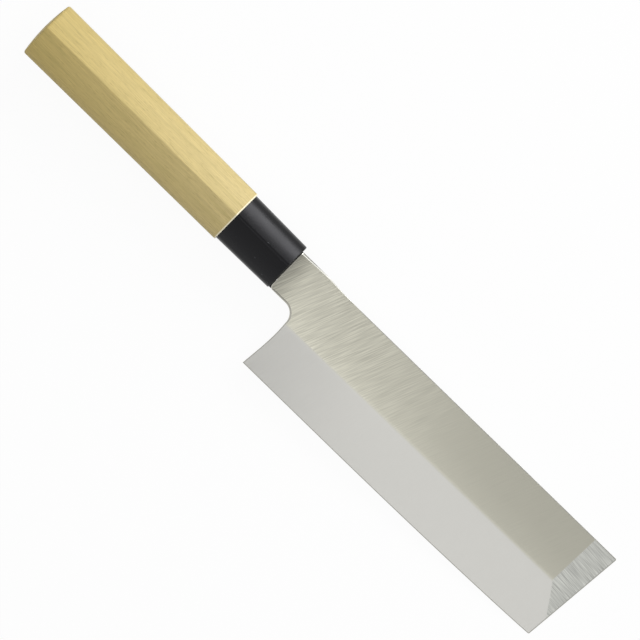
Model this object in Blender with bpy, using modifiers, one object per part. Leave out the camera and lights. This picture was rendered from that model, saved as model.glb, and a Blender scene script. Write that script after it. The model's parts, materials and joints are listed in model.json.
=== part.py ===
"""Right-handed, single-bevel vegetable knife with a squared tip, lying on its hollow-ground back.

+X runs toward the tip, +Y toward the spine and +Z out of the bevelled side. The pieces are drawn with
the handle's axis at y = z = 0 and the ferrule's mouth at x = 0. Then the whole knife is laid down as
it rests on a table, touching at the tip and at the handle's front, with the origin under the middle.
"""

import math

import bmesh
import bpy
import numpy as np
from mathutils import Vector
from mathutils.geometry import interpolate_bezier

# Blade: lengths run from the ferrule's mouth, heights from the handle's axis
BLADE_LENGTH = 0.165
SPINE_HEIGHT = 0.0075
BLADE_DEPTH = 0.0448
BLADE_THICKNESS = 0.0030
TIP_THICKNESS = 0.0024
EDGE_THICKNESS = 0.0003

# Cutting edge: straight from the heel, then rising a little toward the tip
EDGE_STRAIGHT = 0.055
EDGE_RISE = 0.0018
EDGE_TIP_RUN = 0.012
EDGE_TIP_SLOPE = math.radians(3.4)

# Squared tip, with its own ground facet on the bevelled side
TIP_LEAN = math.radians(5.7)
TIP_ROUND = 0.0010
TIP_FACET = 0.0110
TIP_FACET_LEAN = math.radians(2.6)
TIP_END_THICKNESS = 0.0010

# Long bevel: its upper line's distance under the spine, at the heel and at the tip
BEVEL_DROP_HEEL = 0.0231
BEVEL_DROP_TIP = 0.0221

# Hollow-ground back
HOLLOW_DEPTH = 0.0003
HOLLOW_RIM = 0.0025

# Neck, finger notch and heel
NECK_DEPTH = 0.0181
NECK_RISE = 0.00075
NECK_FLAT_TOP = 0.0094
NECK_TOP_ROUND = 0.0005
NECK_LOWER_ROUND = 0.0009
NECK_EASE = 0.0007
NECK_EASE_LENGTH = 0.028
NECK_EASE_RUNOUT = 0.00002
NOTCH_REACH = 0.0139
NOTCH_ROUND = 0.00525
NOTCH_EASE = 0.0004
HEEL_SETBACK = 0.0011
HEEL_BELLY = 0.0007

# Tang, forged in one with the blade
TANG_LENGTH = 0.088
TANG_ROOT_HEIGHT = 0.0115
TANG_END_HEIGHT = 0.0065
TANG_ROOT_THICKNESS = 0.0027
TANG_END_THICKNESS = 0.0018
TANG_END_ROOM = 0.0020

# Handle: D-shaped section, with its ridge on the knife's right side
HANDLE_TURN = math.radians(0.49)
RIDGE_OFFSET = 0.00065
RIDGE_FACE_SLOPE = math.radians(21.0)
WOOD_LENGTH = 0.1012
WOOD_HALF_HEIGHT = 0.0122
WOOD_FRONT_HALF_HEIGHT = 0.01155
WOOD_BACK = 0.0092
WOOD_RIDGE = 0.0100
WOOD_RIDGE_ROUND = 0.0010
WOOD_BUTT_ROUND = 0.0010
WOOD_SHOULDER_EASE = 0.0003

# Ferrule: a moulded cap, hollow from the rear, with a slot for the tang in its front wall
FERRULE_LENGTH = 0.027
FERRULE_HALF_HEIGHT = 0.01083
FERRULE_FRONT_HALF_HEIGHT = 0.01045
FERRULE_BACK = 0.0085
FERRULE_RIDGE = 0.0092
FERRULE_RIDGE_ROUND = 0.0025
FERRULE_WALL = 0.0020
FERRULE_FRONT_WALL = 0.0028
FERRULE_EASE = 0.0005

# Sealing compound round the tang, in the ferrule's slot
SEAL_WALL = 0.0009
SLOT_ROUND = 0.0012

# Fits, and how finely round stretches are drawn
CLEARANCE = 0.0003
OVERLAP = 0.0020
CUT_MARGIN = 0.0030
CUT_REACH = 0.0060
SAME_PLACE = 1e-6
SAME_PLANE = math.radians(0.05)
ARC_POINTS = 9
CURVE_POINTS = 13
SECTION_STEPS = 12
RIM_STEPS = 4
RULED_STEPS = 12
HOLLOW_STEPS = (36, 14)
HOLLOW_END_POWER = 8
HOLLOW_SPREAD = 1.06
SMOOTH_BELOW = math.radians(24.0)

NECK_TOP = SPINE_HEIGHT + NECK_RISE
NECK_BOTTOM = NECK_TOP - NECK_DEPTH
EDGE_HEIGHT = SPINE_HEIGHT - BLADE_DEPTH
BACK_FACE = -BLADE_THICKNESS / 2
HEEL_X = NOTCH_REACH - HEEL_SETBACK
SLOT_HEIGHT = TANG_ROOT_HEIGHT + 2 * (SEAL_WALL + 2 * CLEARANCE)
SLOT_WIDTH = TANG_ROOT_THICKNESS + 2 * (SEAL_WALL + 2 * CLEARANCE)


def new_collection(name):
    """Makes a collection and links it to the scene."""
    collection = bpy.data.collections.new(name)
    bpy.context.scene.collection.children.link(collection)
    return collection


def material(name, color, metallic, roughness):
    """A plain Principled material."""
    made = bpy.data.materials.new(name)
    made.use_nodes = True
    shader = made.node_tree.nodes["Principled BSDF"]
    shader.inputs["Base Color"].default_value = (*color, 1.0)
    shader.inputs["Metallic"].default_value = metallic
    shader.inputs["Roughness"].default_value = roughness
    made.diffuse_color = (*color, 1.0)
    return made


def add_object(name, data, collection, parent):
    """Links a new object that holds data, under its parent."""
    thing = bpy.data.objects.new(name, data)
    thing.parent = parent
    collection.objects.link(thing)
    return thing


def as_cutter(thing):
    """Marks an object that shapes another and isn't a piece itself."""
    thing.hide_render = True
    thing.display_type = "WIRE"
    return thing


def mesh_of(curve_object):
    """The mesh of a curve object, its caps welded and in one face each. The curve is removed."""
    graph = bpy.context.evaluated_depsgraph_get()
    mesh = bpy.data.meshes.new_from_object(curve_object.evaluated_get(graph))
    bm = bmesh.new()
    bm.from_mesh(mesh)
    bmesh.ops.remove_doubles(bm, verts=bm.verts, dist=SAME_PLACE)
    bmesh.ops.dissolve_limit(bm, angle_limit=SAME_PLANE, verts=bm.verts, edges=bm.edges)
    bmesh.ops.recalc_face_normals(bm, faces=bm.faces)
    bm.to_mesh(mesh)
    bm.free()
    data = curve_object.data
    bpy.data.objects.remove(curve_object)
    bpy.data.curves.remove(data)
    return mesh


def boolean(piece, operation, other):
    """Cuts the other object from a piece, or joins it on."""
    modifier = piece.modifiers.new(other.name, "BOOLEAN")
    modifier.operation = operation
    modifier.object = other


def bevel_chosen_edges(piece, width, chosen):
    """Bevels the edges that chosen(end, end) picks."""
    mesh = piece.data
    weights = mesh.attributes.new("bevel_weight_edge", "FLOAT", "EDGE")
    for edge in mesh.edges:
        first, second = (mesh.vertices[index].co for index in edge.vertices)
        weights.data[edge.index].value = float(chosen(first, second))
    modifier = piece.modifiers.new("eased_edges", "BEVEL")
    modifier.limit_method = "WEIGHT"
    modifier.width = width
    modifier.segments = RIM_STEPS


def stretch(start, first_handle, second_handle, end, count=CURVE_POINTS):
    """Points along one smooth stretch of an outline, both ends among them."""
    ends = [Vector(point).to_3d() for point in (start, first_handle, second_handle, end)]
    return [point.to_2d() for point in interpolate_bezier(*ends, count)]


def fillet(before, corner, after, radius):
    """Points along the arc that rounds a corner between two straight lines."""
    before, corner, after = Vector(before), Vector(corner), Vector(after)
    backward, forward = (before - corner).normalized(), (after - corner).normalized()
    opening = backward.angle(forward)
    reach = radius / math.tan(opening / 2)
    handle = reach - radius * math.tan((math.pi - opening) / 4) * 4 / 3
    return stretch(
        corner + backward * reach,
        corner + backward * handle,
        corner + forward * handle,
        corner + forward * reach,
        ARC_POINTS,
    )


def plate(name, outline, thickness, collection, parent):
    """A flat plate in the XY plane, from its closed outline."""
    curve = bpy.data.curves.new(name, "CURVE")
    curve.dimensions = "2D"
    curve.fill_mode = "BOTH"
    curve.extrude = thickness / 2
    spline = curve.splines.new("POLY")
    spline.points.add(len(outline) - 1)
    for point, place in zip(spline.points, outline):
        point.co = (place[0], place[1], 0.0, 1.0)
    spline.use_cyclic_u = True
    drawn = add_object(name + "_outline", curve, collection, None)
    return add_object(name, mesh_of(drawn), collection, parent)


def tip_x(height):
    """Where the leaning end of the blade lies, at a height."""
    return BLADE_LENGTH - (SPINE_HEIGHT - height) * math.tan(TIP_LEAN)


def right_face(x):
    """Height of the blade's tapering right face over its mid-plane."""
    return BACK_FACE + BLADE_THICKNESS + (TIP_THICKNESS - BLADE_THICKNESS) * x / BLADE_LENGTH


def blade_outline():
    """The blade and its neck, seen from the right side."""
    back = CLEARANCE
    notch_end = Vector((NOTCH_REACH, NECK_BOTTOM - NOTCH_ROUND))
    heel = Vector((HEEL_X, EDGE_HEIGHT))
    third = Vector((0.0, (heel.y - notch_end.y) / 3))
    belly = Vector((HEEL_BELLY, 0.0))
    edge_start = Vector((EDGE_STRAIGHT, EDGE_HEIGHT))
    tip_corner = Vector((tip_x(EDGE_HEIGHT + EDGE_RISE), EDGE_HEIGHT + EDGE_RISE))
    tip_run = Vector((EDGE_TIP_RUN, EDGE_TIP_RUN * math.tan(EDGE_TIP_SLOPE)))
    edge_middle = Vector(((edge_start.x + tip_corner.x) / 2, EDGE_HEIGHT))
    tip_top = Vector((BLADE_LENGTH, SPINE_HEIGHT))
    spine_start = Vector((NECK_EASE_LENGTH, SPINE_HEIGHT))
    neck_end = Vector((NECK_FLAT_TOP, NECK_TOP))
    half_ease = Vector(((spine_start.x - neck_end.x) / 2, 0.0))
    neck_top, neck_low = Vector((back, NECK_TOP)), Vector((back, NECK_BOTTOM))
    tip_start = tip_corner - tip_run
    corner_arc = fillet(tip_start, tip_corner, tip_top, TIP_ROUND)
    edge = stretch(edge_start, edge_middle, tip_start, corner_arc[0])
    return (
        fillet(neck_top, neck_low, (NOTCH_REACH, NECK_BOTTOM), NECK_LOWER_ROUND)
        + fillet(neck_low, (NOTCH_REACH, NECK_BOTTOM), notch_end, NOTCH_ROUND)[:-1]
        + stretch(notch_end, notch_end + third + belly, heel - third + belly, heel)
        + edge[:-1]
        + corner_arc
        + fillet(tip_corner, tip_top, spine_start, TIP_ROUND)
        + stretch(spine_start, spine_start - half_ease, neck_end + half_ease, neck_end)
        + fillet(neck_end, neck_top, neck_low, NECK_TOP_ROUND)
    )


def extruded_grid(name, steps, place, reach, collection, parent):
    """A block over a grid whose points place(t, s) gives, for t and s from 0 to 1."""
    bm = bmesh.new()
    bmesh.ops.create_grid(bm, x_segments=steps[0], y_segments=steps[1], size=0.5)
    for vert in bm.verts:
        vert.co = place(vert.co.x + 0.5, vert.co.y + 0.5)
    raised = bmesh.ops.extrude_face_region(bm, geom=bm.faces[:])
    raised_verts = [item for item in raised["geom"] if isinstance(item, bmesh.types.BMVert)]
    bmesh.ops.translate(bm, vec=(0.0, 0.0, reach), verts=raised_verts)
    bmesh.ops.recalc_face_normals(bm, faces=bm.faces)
    mesh = bpy.data.meshes.new(name)
    bm.to_mesh(mesh)
    bm.free()
    return as_cutter(add_object(name, mesh, collection, parent))


def ruled_cutter(name, first, second, collection, parent, side=1, overrun=CUT_MARGIN):
    """Takes off what lies over the ruled surface between two lines, or under it for side -1."""
    first_start, first_end = (Vector(point) for point in first)
    second_start, second_end = (Vector(point) for point in second)
    extra = overrun / (first_end - first_start).length

    def place(t, s):
        along = t * (1 + 2 * extra) - extra
        near = first_start.lerp(first_end, along)
        far = second_start.lerp(second_end, along)
        margin = (far - near).normalized() * CUT_MARGIN
        return far + margin if s > 0.5 else near - margin

    return extruded_grid(name, (RULED_STEPS, 1), place, side * CUT_REACH, collection, parent)


def taper_right_face(blade):
    """Thins the plate evenly from the neck to the tip."""
    for vertex in blade.data.vertices:
        if vertex.co.z > 0:
            vertex.co.z = right_face(vertex.co.x)


def bevel_cutter(collection, parent):
    """Grinds the long bevel, which turns a little flatter toward the tip."""
    tip = tip_x(EDGE_HEIGHT)
    shoulder = [
        (HEEL_X, SPINE_HEIGHT - BEVEL_DROP_HEEL, right_face(HEEL_X)),
        (tip, SPINE_HEIGHT - BEVEL_DROP_TIP, right_face(tip)),
    ]
    edge = [
        (HEEL_X, EDGE_HEIGHT, BACK_FACE + EDGE_THICKNESS),
        (tip, EDGE_HEIGHT + EDGE_RISE, BACK_FACE + EDGE_THICKNESS),
    ]
    return ruled_cutter("long_bevel_cut", shoulder, edge, collection, parent)


def tip_facet_cutter(collection, parent):
    """Grinds the facet across the squared tip."""
    inner, end = [], []
    for y in (SPINE_HEIGHT, EDGE_HEIGHT):
        x = BLADE_LENGTH - TIP_FACET - (SPINE_HEIGHT - y) * math.tan(TIP_FACET_LEAN)
        inner.append((x, y, right_face(x)))
        end.append((tip_x(y), y, BACK_FACE + TIP_END_THICKNESS))
    return ruled_cutter("tip_facet_cut", inner, end, collection, parent)


def neck_ease_cutter(side, collection, parent):
    """Chamfers one corner of the neck's spine, fading out along the blade."""
    face = right_face if side > 0 else lambda x: BACK_FACE
    face_line, spine_line = [], []
    for x, y, width in (
        (0.0, NECK_TOP, NECK_EASE),
        (NECK_EASE_LENGTH, SPINE_HEIGHT, NECK_EASE_RUNOUT),
    ):
        face_line.append((x, y - width, face(x)))
        spine_line.append((x, y, face(x) - side * width))
    name = "neck_ease_right_cut" if side > 0 else "neck_ease_left_cut"
    return ruled_cutter(name, face_line, spine_line, collection, parent, side, overrun=0.0)


def hollow_cutter(collection, parent):
    """Hollows the back between its flat rims: round across the blade, running out at both ends."""
    low = Vector((NOTCH_REACH + HOLLOW_RIM, EDGE_HEIGHT + EDGE_RISE + HOLLOW_RIM))
    high = Vector((tip_x(low.y) - HOLLOW_RIM, SPINE_HEIGHT - HOLLOW_RIM))
    middle, half = (low + high) / 2, (high - low) / 2

    def place(t, s):
        p, q = (2 * t - 1) * HOLLOW_SPREAD, (2 * s - 1) * HOLLOW_SPREAD
        depth = HOLLOW_DEPTH * (1 - abs(p) ** HOLLOW_END_POWER - q**2)
        return (middle.x + p * half.x, middle.y + q * half.y, BACK_FACE + depth)

    return extruded_grid("hollow_back_cut", HOLLOW_STEPS, place, -CUT_REACH, collection, parent)


def tang_half_size(x, room=0.0):
    """Half the tang's height and thickness at x, which is negative inside the handle."""
    share = -x / TANG_LENGTH
    height = TANG_ROOT_HEIGHT + (TANG_END_HEIGHT - TANG_ROOT_HEIGHT) * share
    thickness = TANG_ROOT_THICKNESS + (TANG_END_THICKNESS - TANG_ROOT_THICKNESS) * share
    return height / 2 + room, thickness / 2 + room


def tang_block(name, end_room, room, collection, parent):
    """A tapered bar with the tang's sizes, or the space for it."""
    bm = bmesh.new()
    bmesh.ops.create_cube(bm, size=2.0)
    for vert in bm.verts:
        x = OVERLAP if vert.co.x > 0 else -TANG_LENGTH - end_room
        half_height, half_thickness = tang_half_size(x, room)
        vert.co = (x, vert.co.y * half_height, vert.co.z * half_thickness)
    mesh = bpy.data.meshes.new(name)
    bm.to_mesh(mesh)
    bm.free()
    return as_cutter(add_object(name, mesh, collection, parent))


def make_blade(steel, pieces, cutters, parent):
    """The blade, its neck and its tang: one forging."""
    blade = plate("blade", blade_outline(), BLADE_THICKNESS, pieces, parent)
    blade.data.materials.append(steel)
    taper_right_face(blade)

    def in_notch(end):
        low = NECK_BOTTOM - NOTCH_ROUND - SAME_PLACE
        high = NECK_BOTTOM + NECK_LOWER_ROUND + SAME_PLACE
        return low <= end.y <= high and end.x <= NOTCH_REACH + SAME_PLACE

    def along_notch(first, second):
        one_side = first.z * second.z > 0
        return one_side and in_notch(first) and in_notch(second)

    bevel_chosen_edges(blade, NOTCH_EASE, along_notch)
    boolean(blade, "DIFFERENCE", bevel_cutter(cutters, parent))
    boolean(blade, "DIFFERENCE", tip_facet_cutter(cutters, parent))
    boolean(blade, "DIFFERENCE", neck_ease_cutter(1, cutters, parent))
    boolean(blade, "DIFFERENCE", neck_ease_cutter(-1, cutters, parent))
    boolean(blade, "DIFFERENCE", hollow_cutter(cutters, parent))
    boolean(blade, "UNION", tang_block("tang_bar", 0.0, 0.0, cutters, parent))
    return blade


def section_curve(name, half_height, back, ridge, ridge_round, inset, collection):
    """The handle's D-shaped section, seen from the butt: x toward the spine, y toward the right side."""
    side, back, ridge = half_height - inset, back - inset, ridge - inset
    circle = 4 / 3 * math.tan(math.pi / 8)
    apex = Vector((RIDGE_OFFSET, ridge))
    down_front = Vector((math.cos(RIDGE_FACE_SLOPE), -math.sin(RIDGE_FACE_SLOPE)))
    down_back = Vector((-down_front.x, down_front.y))
    cut = ridge_round * math.tan(RIDGE_FACE_SLOPE)
    arc_handle = cut - ridge_round * math.tan(RIDGE_FACE_SLOPE / 2) * 4 / 3
    points = [
        (apex + down_front * cut, apex + down_front * side / 2, apex + down_front * arc_handle),
        (Vector((side, 0.0)), Vector((side, -back * circle)), Vector((side, ridge / 2))),
        (Vector((0.0, -back)), Vector((-side * circle, -back)), Vector((side * circle, -back))),
        (Vector((-side, 0.0)), Vector((-side, ridge / 2)), Vector((-side, -back * circle))),
        (apex + down_back * cut, apex + down_back * arc_handle, apex + down_back * side / 2),
    ]
    curve = bpy.data.curves.new(name, "CURVE")
    curve.dimensions = "2D"
    curve.resolution_u = SECTION_STEPS
    spline = curve.splines.new("BEZIER")
    spline.bezier_points.add(len(points) - 1)
    for point, (place, handle_on, handle_back) in zip(spline.bezier_points, points):
        point.handle_left_type = point.handle_right_type = "FREE"
        point.co = place.to_3d()
        point.handle_right = handle_on.to_3d()
        point.handle_left = handle_back.to_3d()
    spline.use_cyclic_u = True
    return as_cutter(add_object(name, curve, collection, None))


def swept(name, section, stations, collection, parent):
    """The section swept back along the handle's axis, through (x, scale) stations."""
    curve = bpy.data.curves.new(name, "CURVE")
    curve.dimensions = "3D"
    curve.bevel_mode = "OBJECT"
    curve.bevel_object = section
    curve.use_fill_caps = True
    spline = curve.splines.new("POLY")
    spline.points.add(len(stations) - 1)
    for point, (x, scale) in zip(spline.points, stations):
        point.co = (x, 0.0, 0.0, 1.0)
        point.radius = scale
    drawn = add_object(name + "_path", curve, collection, None)
    mesh = mesh_of(drawn)
    section_data = section.data
    bpy.data.objects.remove(section)
    bpy.data.curves.remove(section_data)
    return add_object(name, mesh, collection, parent)


def rounded_end(x, half_height, ease, inward, full_height):
    """Stations that round the rim of an end at x, in order from the full section outward."""
    stations = []
    for step in range(RIM_STEPS + 1):
        turn = math.pi / 2 * step / RIM_STEPS
        drawn_in = ease * (1 - math.cos(turn))
        place = x + inward * ease * (1 - math.sin(turn))
        stations.append((place, (half_height - drawn_in) / full_height))
    return stations


def ferrule_front_inset():
    """How much nearer to the axis the ferrule's skin is at its mouth."""
    return FERRULE_HALF_HEIGHT - FERRULE_FRONT_HALF_HEIGHT


def ferrule_bore(name, inset, start, end, collection, parent):
    """A straight bar with the section of the ferrule's bore, drawn in by an inset."""
    inset = ferrule_front_inset() + FERRULE_WALL + inset
    sizes = (FERRULE_HALF_HEIGHT, FERRULE_BACK, FERRULE_RIDGE, FERRULE_RIDGE_ROUND)
    section = section_curve(name + "_section", *sizes, inset, collection)
    return as_cutter(swept(name, section, [(start, 1.0), (end, 1.0)], collection, parent))


def make_wood(wood, tang_space, pieces, cutters, parent):
    """The magnolia grip, with a tenon for the ferrule and a mortise for the tang."""
    front, butt = -FERRULE_LENGTH, -FERRULE_LENGTH - WOOD_LENGTH
    sizes = (WOOD_HALF_HEIGHT, WOOD_BACK, WOOD_RIDGE, WOOD_RIDGE_ROUND)
    section = section_curve("wood_section", *sizes, 0.0, cutters)
    full = WOOD_HALF_HEIGHT
    shoulder = rounded_end(front, WOOD_FRONT_HALF_HEIGHT, WOOD_SHOULDER_EASE, -1, full)
    stations = shoulder[::-1] + rounded_end(butt, full, WOOD_BUTT_ROUND, 1, full)
    grip = swept("handle_wood", section, stations, pieces, parent)
    grip.data.materials.append(wood)
    tenon_end = -FERRULE_FRONT_WALL - CLEARANCE
    tenon = ferrule_bore("tenon", CLEARANCE, tenon_end, front - OVERLAP, cutters, parent)
    boolean(grip, "UNION", tenon)
    boolean(grip, "DIFFERENCE", tang_space)
    return grip


def slot_bar(name, room, start, end, collection, parent):
    """A bar with rounded corners along X, the size of the ferrule's slot less some room."""
    half_width, half_height = SLOT_WIDTH / 2 - room, SLOT_HEIGHT / 2 - room
    corners = [
        Vector((half_width * right, half_height * up))
        for right, up in ((-1, -1), (1, -1), (1, 1), (-1, 1))
    ]
    outline = []
    for index, corner in enumerate(corners):
        after = corners[(index + 1) % len(corners)]
        outline += fillet(corners[index - 1], corner, after, SLOT_ROUND - room)
    bar = plate(name, outline, end - start, collection, parent)
    bar.rotation_euler = (0.0, math.pi / 2, 0.0)
    bar.location = ((start + end) / 2, 0.0, 0.0)
    return bar


def make_ferrule(plastic, pieces, cutters, parent):
    """The black cap over the tenon, with a slot in its front wall."""
    rear = -FERRULE_LENGTH + CLEARANCE
    sizes = (FERRULE_HALF_HEIGHT, FERRULE_BACK, FERRULE_RIDGE, FERRULE_RIDGE_ROUND)
    section = section_curve("ferrule_section", *sizes, 0.0, cutters)
    mouth = rounded_end(0.0, FERRULE_FRONT_HALF_HEIGHT, FERRULE_EASE, -1, FERRULE_HALF_HEIGHT)
    ferrule = swept("ferrule", section, mouth[::-1] + [(rear, 1.0)], pieces, parent)
    ferrule.data.materials.append(plastic)
    bore = ferrule_bore("bore_cut", 0.0, -FERRULE_FRONT_WALL, rear - OVERLAP, cutters, parent)
    boolean(ferrule, "DIFFERENCE", bore)
    slot = slot_bar("slot_cut", 0.0, -FERRULE_FRONT_WALL - OVERLAP, OVERLAP, cutters, parent)
    boolean(ferrule, "DIFFERENCE", as_cutter(slot))
    return ferrule


def make_seal(rubber, tang_space, pieces, parent):
    """The sealing compound that fills the slot round the tang."""
    seal = slot_bar("tang_seal", CLEARANCE, -FERRULE_FRONT_WALL, 0.0, pieces, parent)
    seal.data.materials.append(rubber)
    boolean(seal, "DIFFERENCE", tang_space)
    return seal


def world_points(pieces):
    """Every corner of the finished pieces, in world space."""
    bpy.context.view_layer.update()
    graph = bpy.context.evaluated_depsgraph_get()
    found = []
    for piece in pieces:
        shape = piece.evaluated_get(graph)
        found += [shape.matrix_world @ vertex.co for vertex in shape.data.vertices]
    return np.array(found)


def lay_down(knife, blade, handle_pieces):
    """Pitches the knife until its tip and its handle both touch the table, over the origin."""
    tip = max(world_points([blade]), key=lambda point: (round(point[0], 6), -point[2]))
    drops = tip - world_points(handle_pieces)
    knife.rotation_euler.y = math.atan(max(drops[:, 2] / drops[:, 0]))
    points = world_points([blade, *handle_pieces])
    low, high = points.min(axis=0), points.max(axis=0)
    knife.location -= Vector(((low[0] + high[0]) / 2, (low[1] + high[1]) / 2, low[2]))


def main():
    for thing in list(bpy.data.objects):
        bpy.data.objects.remove(thing)
    pieces, cutters = new_collection("squared_tip_knife"), new_collection("cutters")
    knife = add_object("knife", None, pieces, None)
    handle_axis = add_object("handle_axis", None, pieces, knife)
    handle_axis.rotation_euler.z = -HANDLE_TURN

    steel = material("ground_stainless_steel", (0.62, 0.61, 0.58), 1.0, 0.35)
    wood = material("oiled_magnolia", (0.55, 0.44, 0.22), 0.0, 0.55)
    plastic = material("black_moulded_plastic", (0.02, 0.02, 0.02), 0.0, 0.32)
    rubber = material("black_sealing_compound", (0.012, 0.012, 0.012), 0.0, 0.6)

    tang_space = tang_block("tang_space_cut", TANG_END_ROOM, CLEARANCE, cutters, knife)
    blade = make_blade(steel, pieces, cutters, knife)
    handle_pieces = [
        make_wood(wood, tang_space, pieces, cutters, handle_axis),
        make_ferrule(plastic, pieces, cutters, handle_axis),
        make_seal(rubber, tang_space, pieces, handle_axis),
    ]
    for piece in (blade, *handle_pieces):
        piece.data.shade_smooth()
        piece.data.set_sharp_from_angle(angle=SMOOTH_BELOW)
    lay_down(knife, blade, handle_pieces)


if __name__ == "__main__":
    main()
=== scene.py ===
"""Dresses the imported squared-tip vegetable knife: fine meshes, their finishes and a plain studio.

Sizes are in metres, in the knife's own axes: x from the ferrule's mouth toward the tip, y from the
handle's axis toward the spine, z from the blade's mid-plane out of the bevelled right side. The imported
record's butt_end mount says where those axes lie in the row frame.
"""

import json
import math
from collections import namedtuple

import bmesh
import bpy
import numpy as np
from bpy.props import FloatProperty, FloatVectorProperty, PointerProperty
from bpy.types import Operator, Panel, PropertyGroup
from mathutils import Matrix, Vector
from mathutils.geometry import delaunay_2d_cdt


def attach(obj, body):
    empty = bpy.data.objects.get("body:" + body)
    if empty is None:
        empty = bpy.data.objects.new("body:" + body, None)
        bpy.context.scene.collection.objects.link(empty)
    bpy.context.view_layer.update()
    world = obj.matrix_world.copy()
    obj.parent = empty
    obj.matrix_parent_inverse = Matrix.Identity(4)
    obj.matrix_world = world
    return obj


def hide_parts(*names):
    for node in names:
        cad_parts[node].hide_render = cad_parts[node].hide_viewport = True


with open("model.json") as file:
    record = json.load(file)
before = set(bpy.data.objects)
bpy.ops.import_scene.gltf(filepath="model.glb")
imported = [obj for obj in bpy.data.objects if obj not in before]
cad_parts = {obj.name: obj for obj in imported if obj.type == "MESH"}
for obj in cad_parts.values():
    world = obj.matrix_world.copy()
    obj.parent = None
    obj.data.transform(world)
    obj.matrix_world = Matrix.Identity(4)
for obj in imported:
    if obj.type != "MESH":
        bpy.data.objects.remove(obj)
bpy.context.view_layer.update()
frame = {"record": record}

bl_info = {
    "name": "Squared-Tip Vegetable Knife",
    "version": (1, 0, 0),
    "blender": (4, 5, 0),
    "location": "View3D > Sidebar > Knife",
    "description": "Builds the knife's fine meshes and finishes around its packed model",
    "category": "Add Mesh",
}

BODY = "root"
MM = 0.001

# How finely round stretches, outlines and open areas are drawn
ARC_POINTS = 13
SECTION_POINTS = 24
ROUNDING_STEPS = 4
GRIP_RINGS = 40
LONG_SPACING = 0.0012
SHORT_SPACING = 0.0006
TIP_END_SPACING = 0.0005
HEEL_SPACING = 0.0004
CREASE_SPACING = 0.0015
AREA_SPACING = 0.0016
NEAR_LOOP = 0.0004
LEAST_ROUNDING = 0.00002
EASING_PASSES = 6
HALVINGS = 40

# A square's corners, and what the triangulation asks for: faces only inside the loop, and the gap under
# which points count as one
SQUARE = ((-1, -1), (1, -1), (1, 1), (-1, 1))
INSIDE_ONLY = 1
SAME_POINT = 1e-8

# About how high the flat, the long bevel and the tip facet meet
MEETING_Y = -0.0150

# Depths of the soft creases along the neck's chamfers and the hollow's rim, and how square that rim is
CHAMFER_CREASE = 0.05 * MM
BACK_CHAMFER_CREASE = 0.02 * MM
RIM_CREASE = 0.01 * MM
HOLLOW_SQUARENESS = 8

# The margin inside the blade's outline: its least width along the spine, how fast it widens past the
# neck's chamfer, and its share of the neck's upper corner
LEAST_MARGIN = 0.06 * MM
MARGIN_WIDENING = 0.06
CORNER_MARGIN = 0.8

# The margin's outer part, which is rubbed: its shares of the margin at two places along the blade, and
# how far past the rounding it reaches at least
RUBBED_PLACES = (5 * MM, 15 * MM)
RUBBED_SHARES = (0.55, 0.15)
LEAST_RUBBED = 0.01 * MM

# The most of the blade's thickness that one rounding takes, and how much of the neck's rear corner is
# finished like its rear wall
ROUNDING_ROOM = 0.3
REAR_WALL_SHARE = 0.7

# How far the tang reaches into the neck, and how much deeper than the tang the mortise is
TANG_OVERLAP = 2 * MM
MORTISE_ROOM = 2 * MM

# Rings of the bowed butt, as shares of its rim, and what is left open between ferrule and wood
BUTT_SHARES = (0.8, 0.6, 0.4, 0.2, 0.05)
JOINT_GAP = 0.02 * MM

# The film of compound: how far it stays inside the neck's end, and how far round the neck's lower corner
# its bead reaches, as a share of that corner
FILM_EASE = 0.1 * MM
BEAD_REACH = 0.85

# Degrees at which an edge is shaded sharp
BLADE_CORNERS = 32
HANDLE_CORNERS = 40

# Studio: half the floor's width, the camera's sensor in mm, and each lamp's place, aim, width and height
FLOOR_HALF = 3.0
SENSOR_WIDTH = 36.0
LAMPS = {
    "key": ((0.12, 0.80, 0.40), (-0.02, 0.0, 0.01), 0.8, 0.4),
    "neck_light": ((-0.01, -0.01, 0.3), (-0.01, -0.01, 0), 0.12, 0.08),
    "bevel_light": ((0.16, -0.1, 0.35), (0.14, -0.02, 0.0), 0.24, 0.14),
}


def linear(hex_color):
    """An sRGB hex colour as linear red, green and blue."""
    channels = [int(hex_color[i : i + 2], 16) / 255 for i in (1, 3, 5)]
    return tuple(c / 12.92 if c <= 0.04045 else ((c + 0.055) / 1.055) ** 2.4 for c in channels)


def size(name, description, default):
    """A length property."""
    return FloatProperty(
        name=name, description=description, default=default, unit="LENGTH", precision=5
    )


def angle(name, description, degrees):
    """An angle property, from degrees."""
    return FloatProperty(
        name=name, description=description, default=math.radians(degrees), subtype="ANGLE"
    )


def color(name, description, hex_color):
    """A colour property, from its sRGB hex value."""
    return FloatVectorProperty(
        name=name, description=description, default=linear(hex_color), subtype="COLOR", size=3
    )


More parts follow.
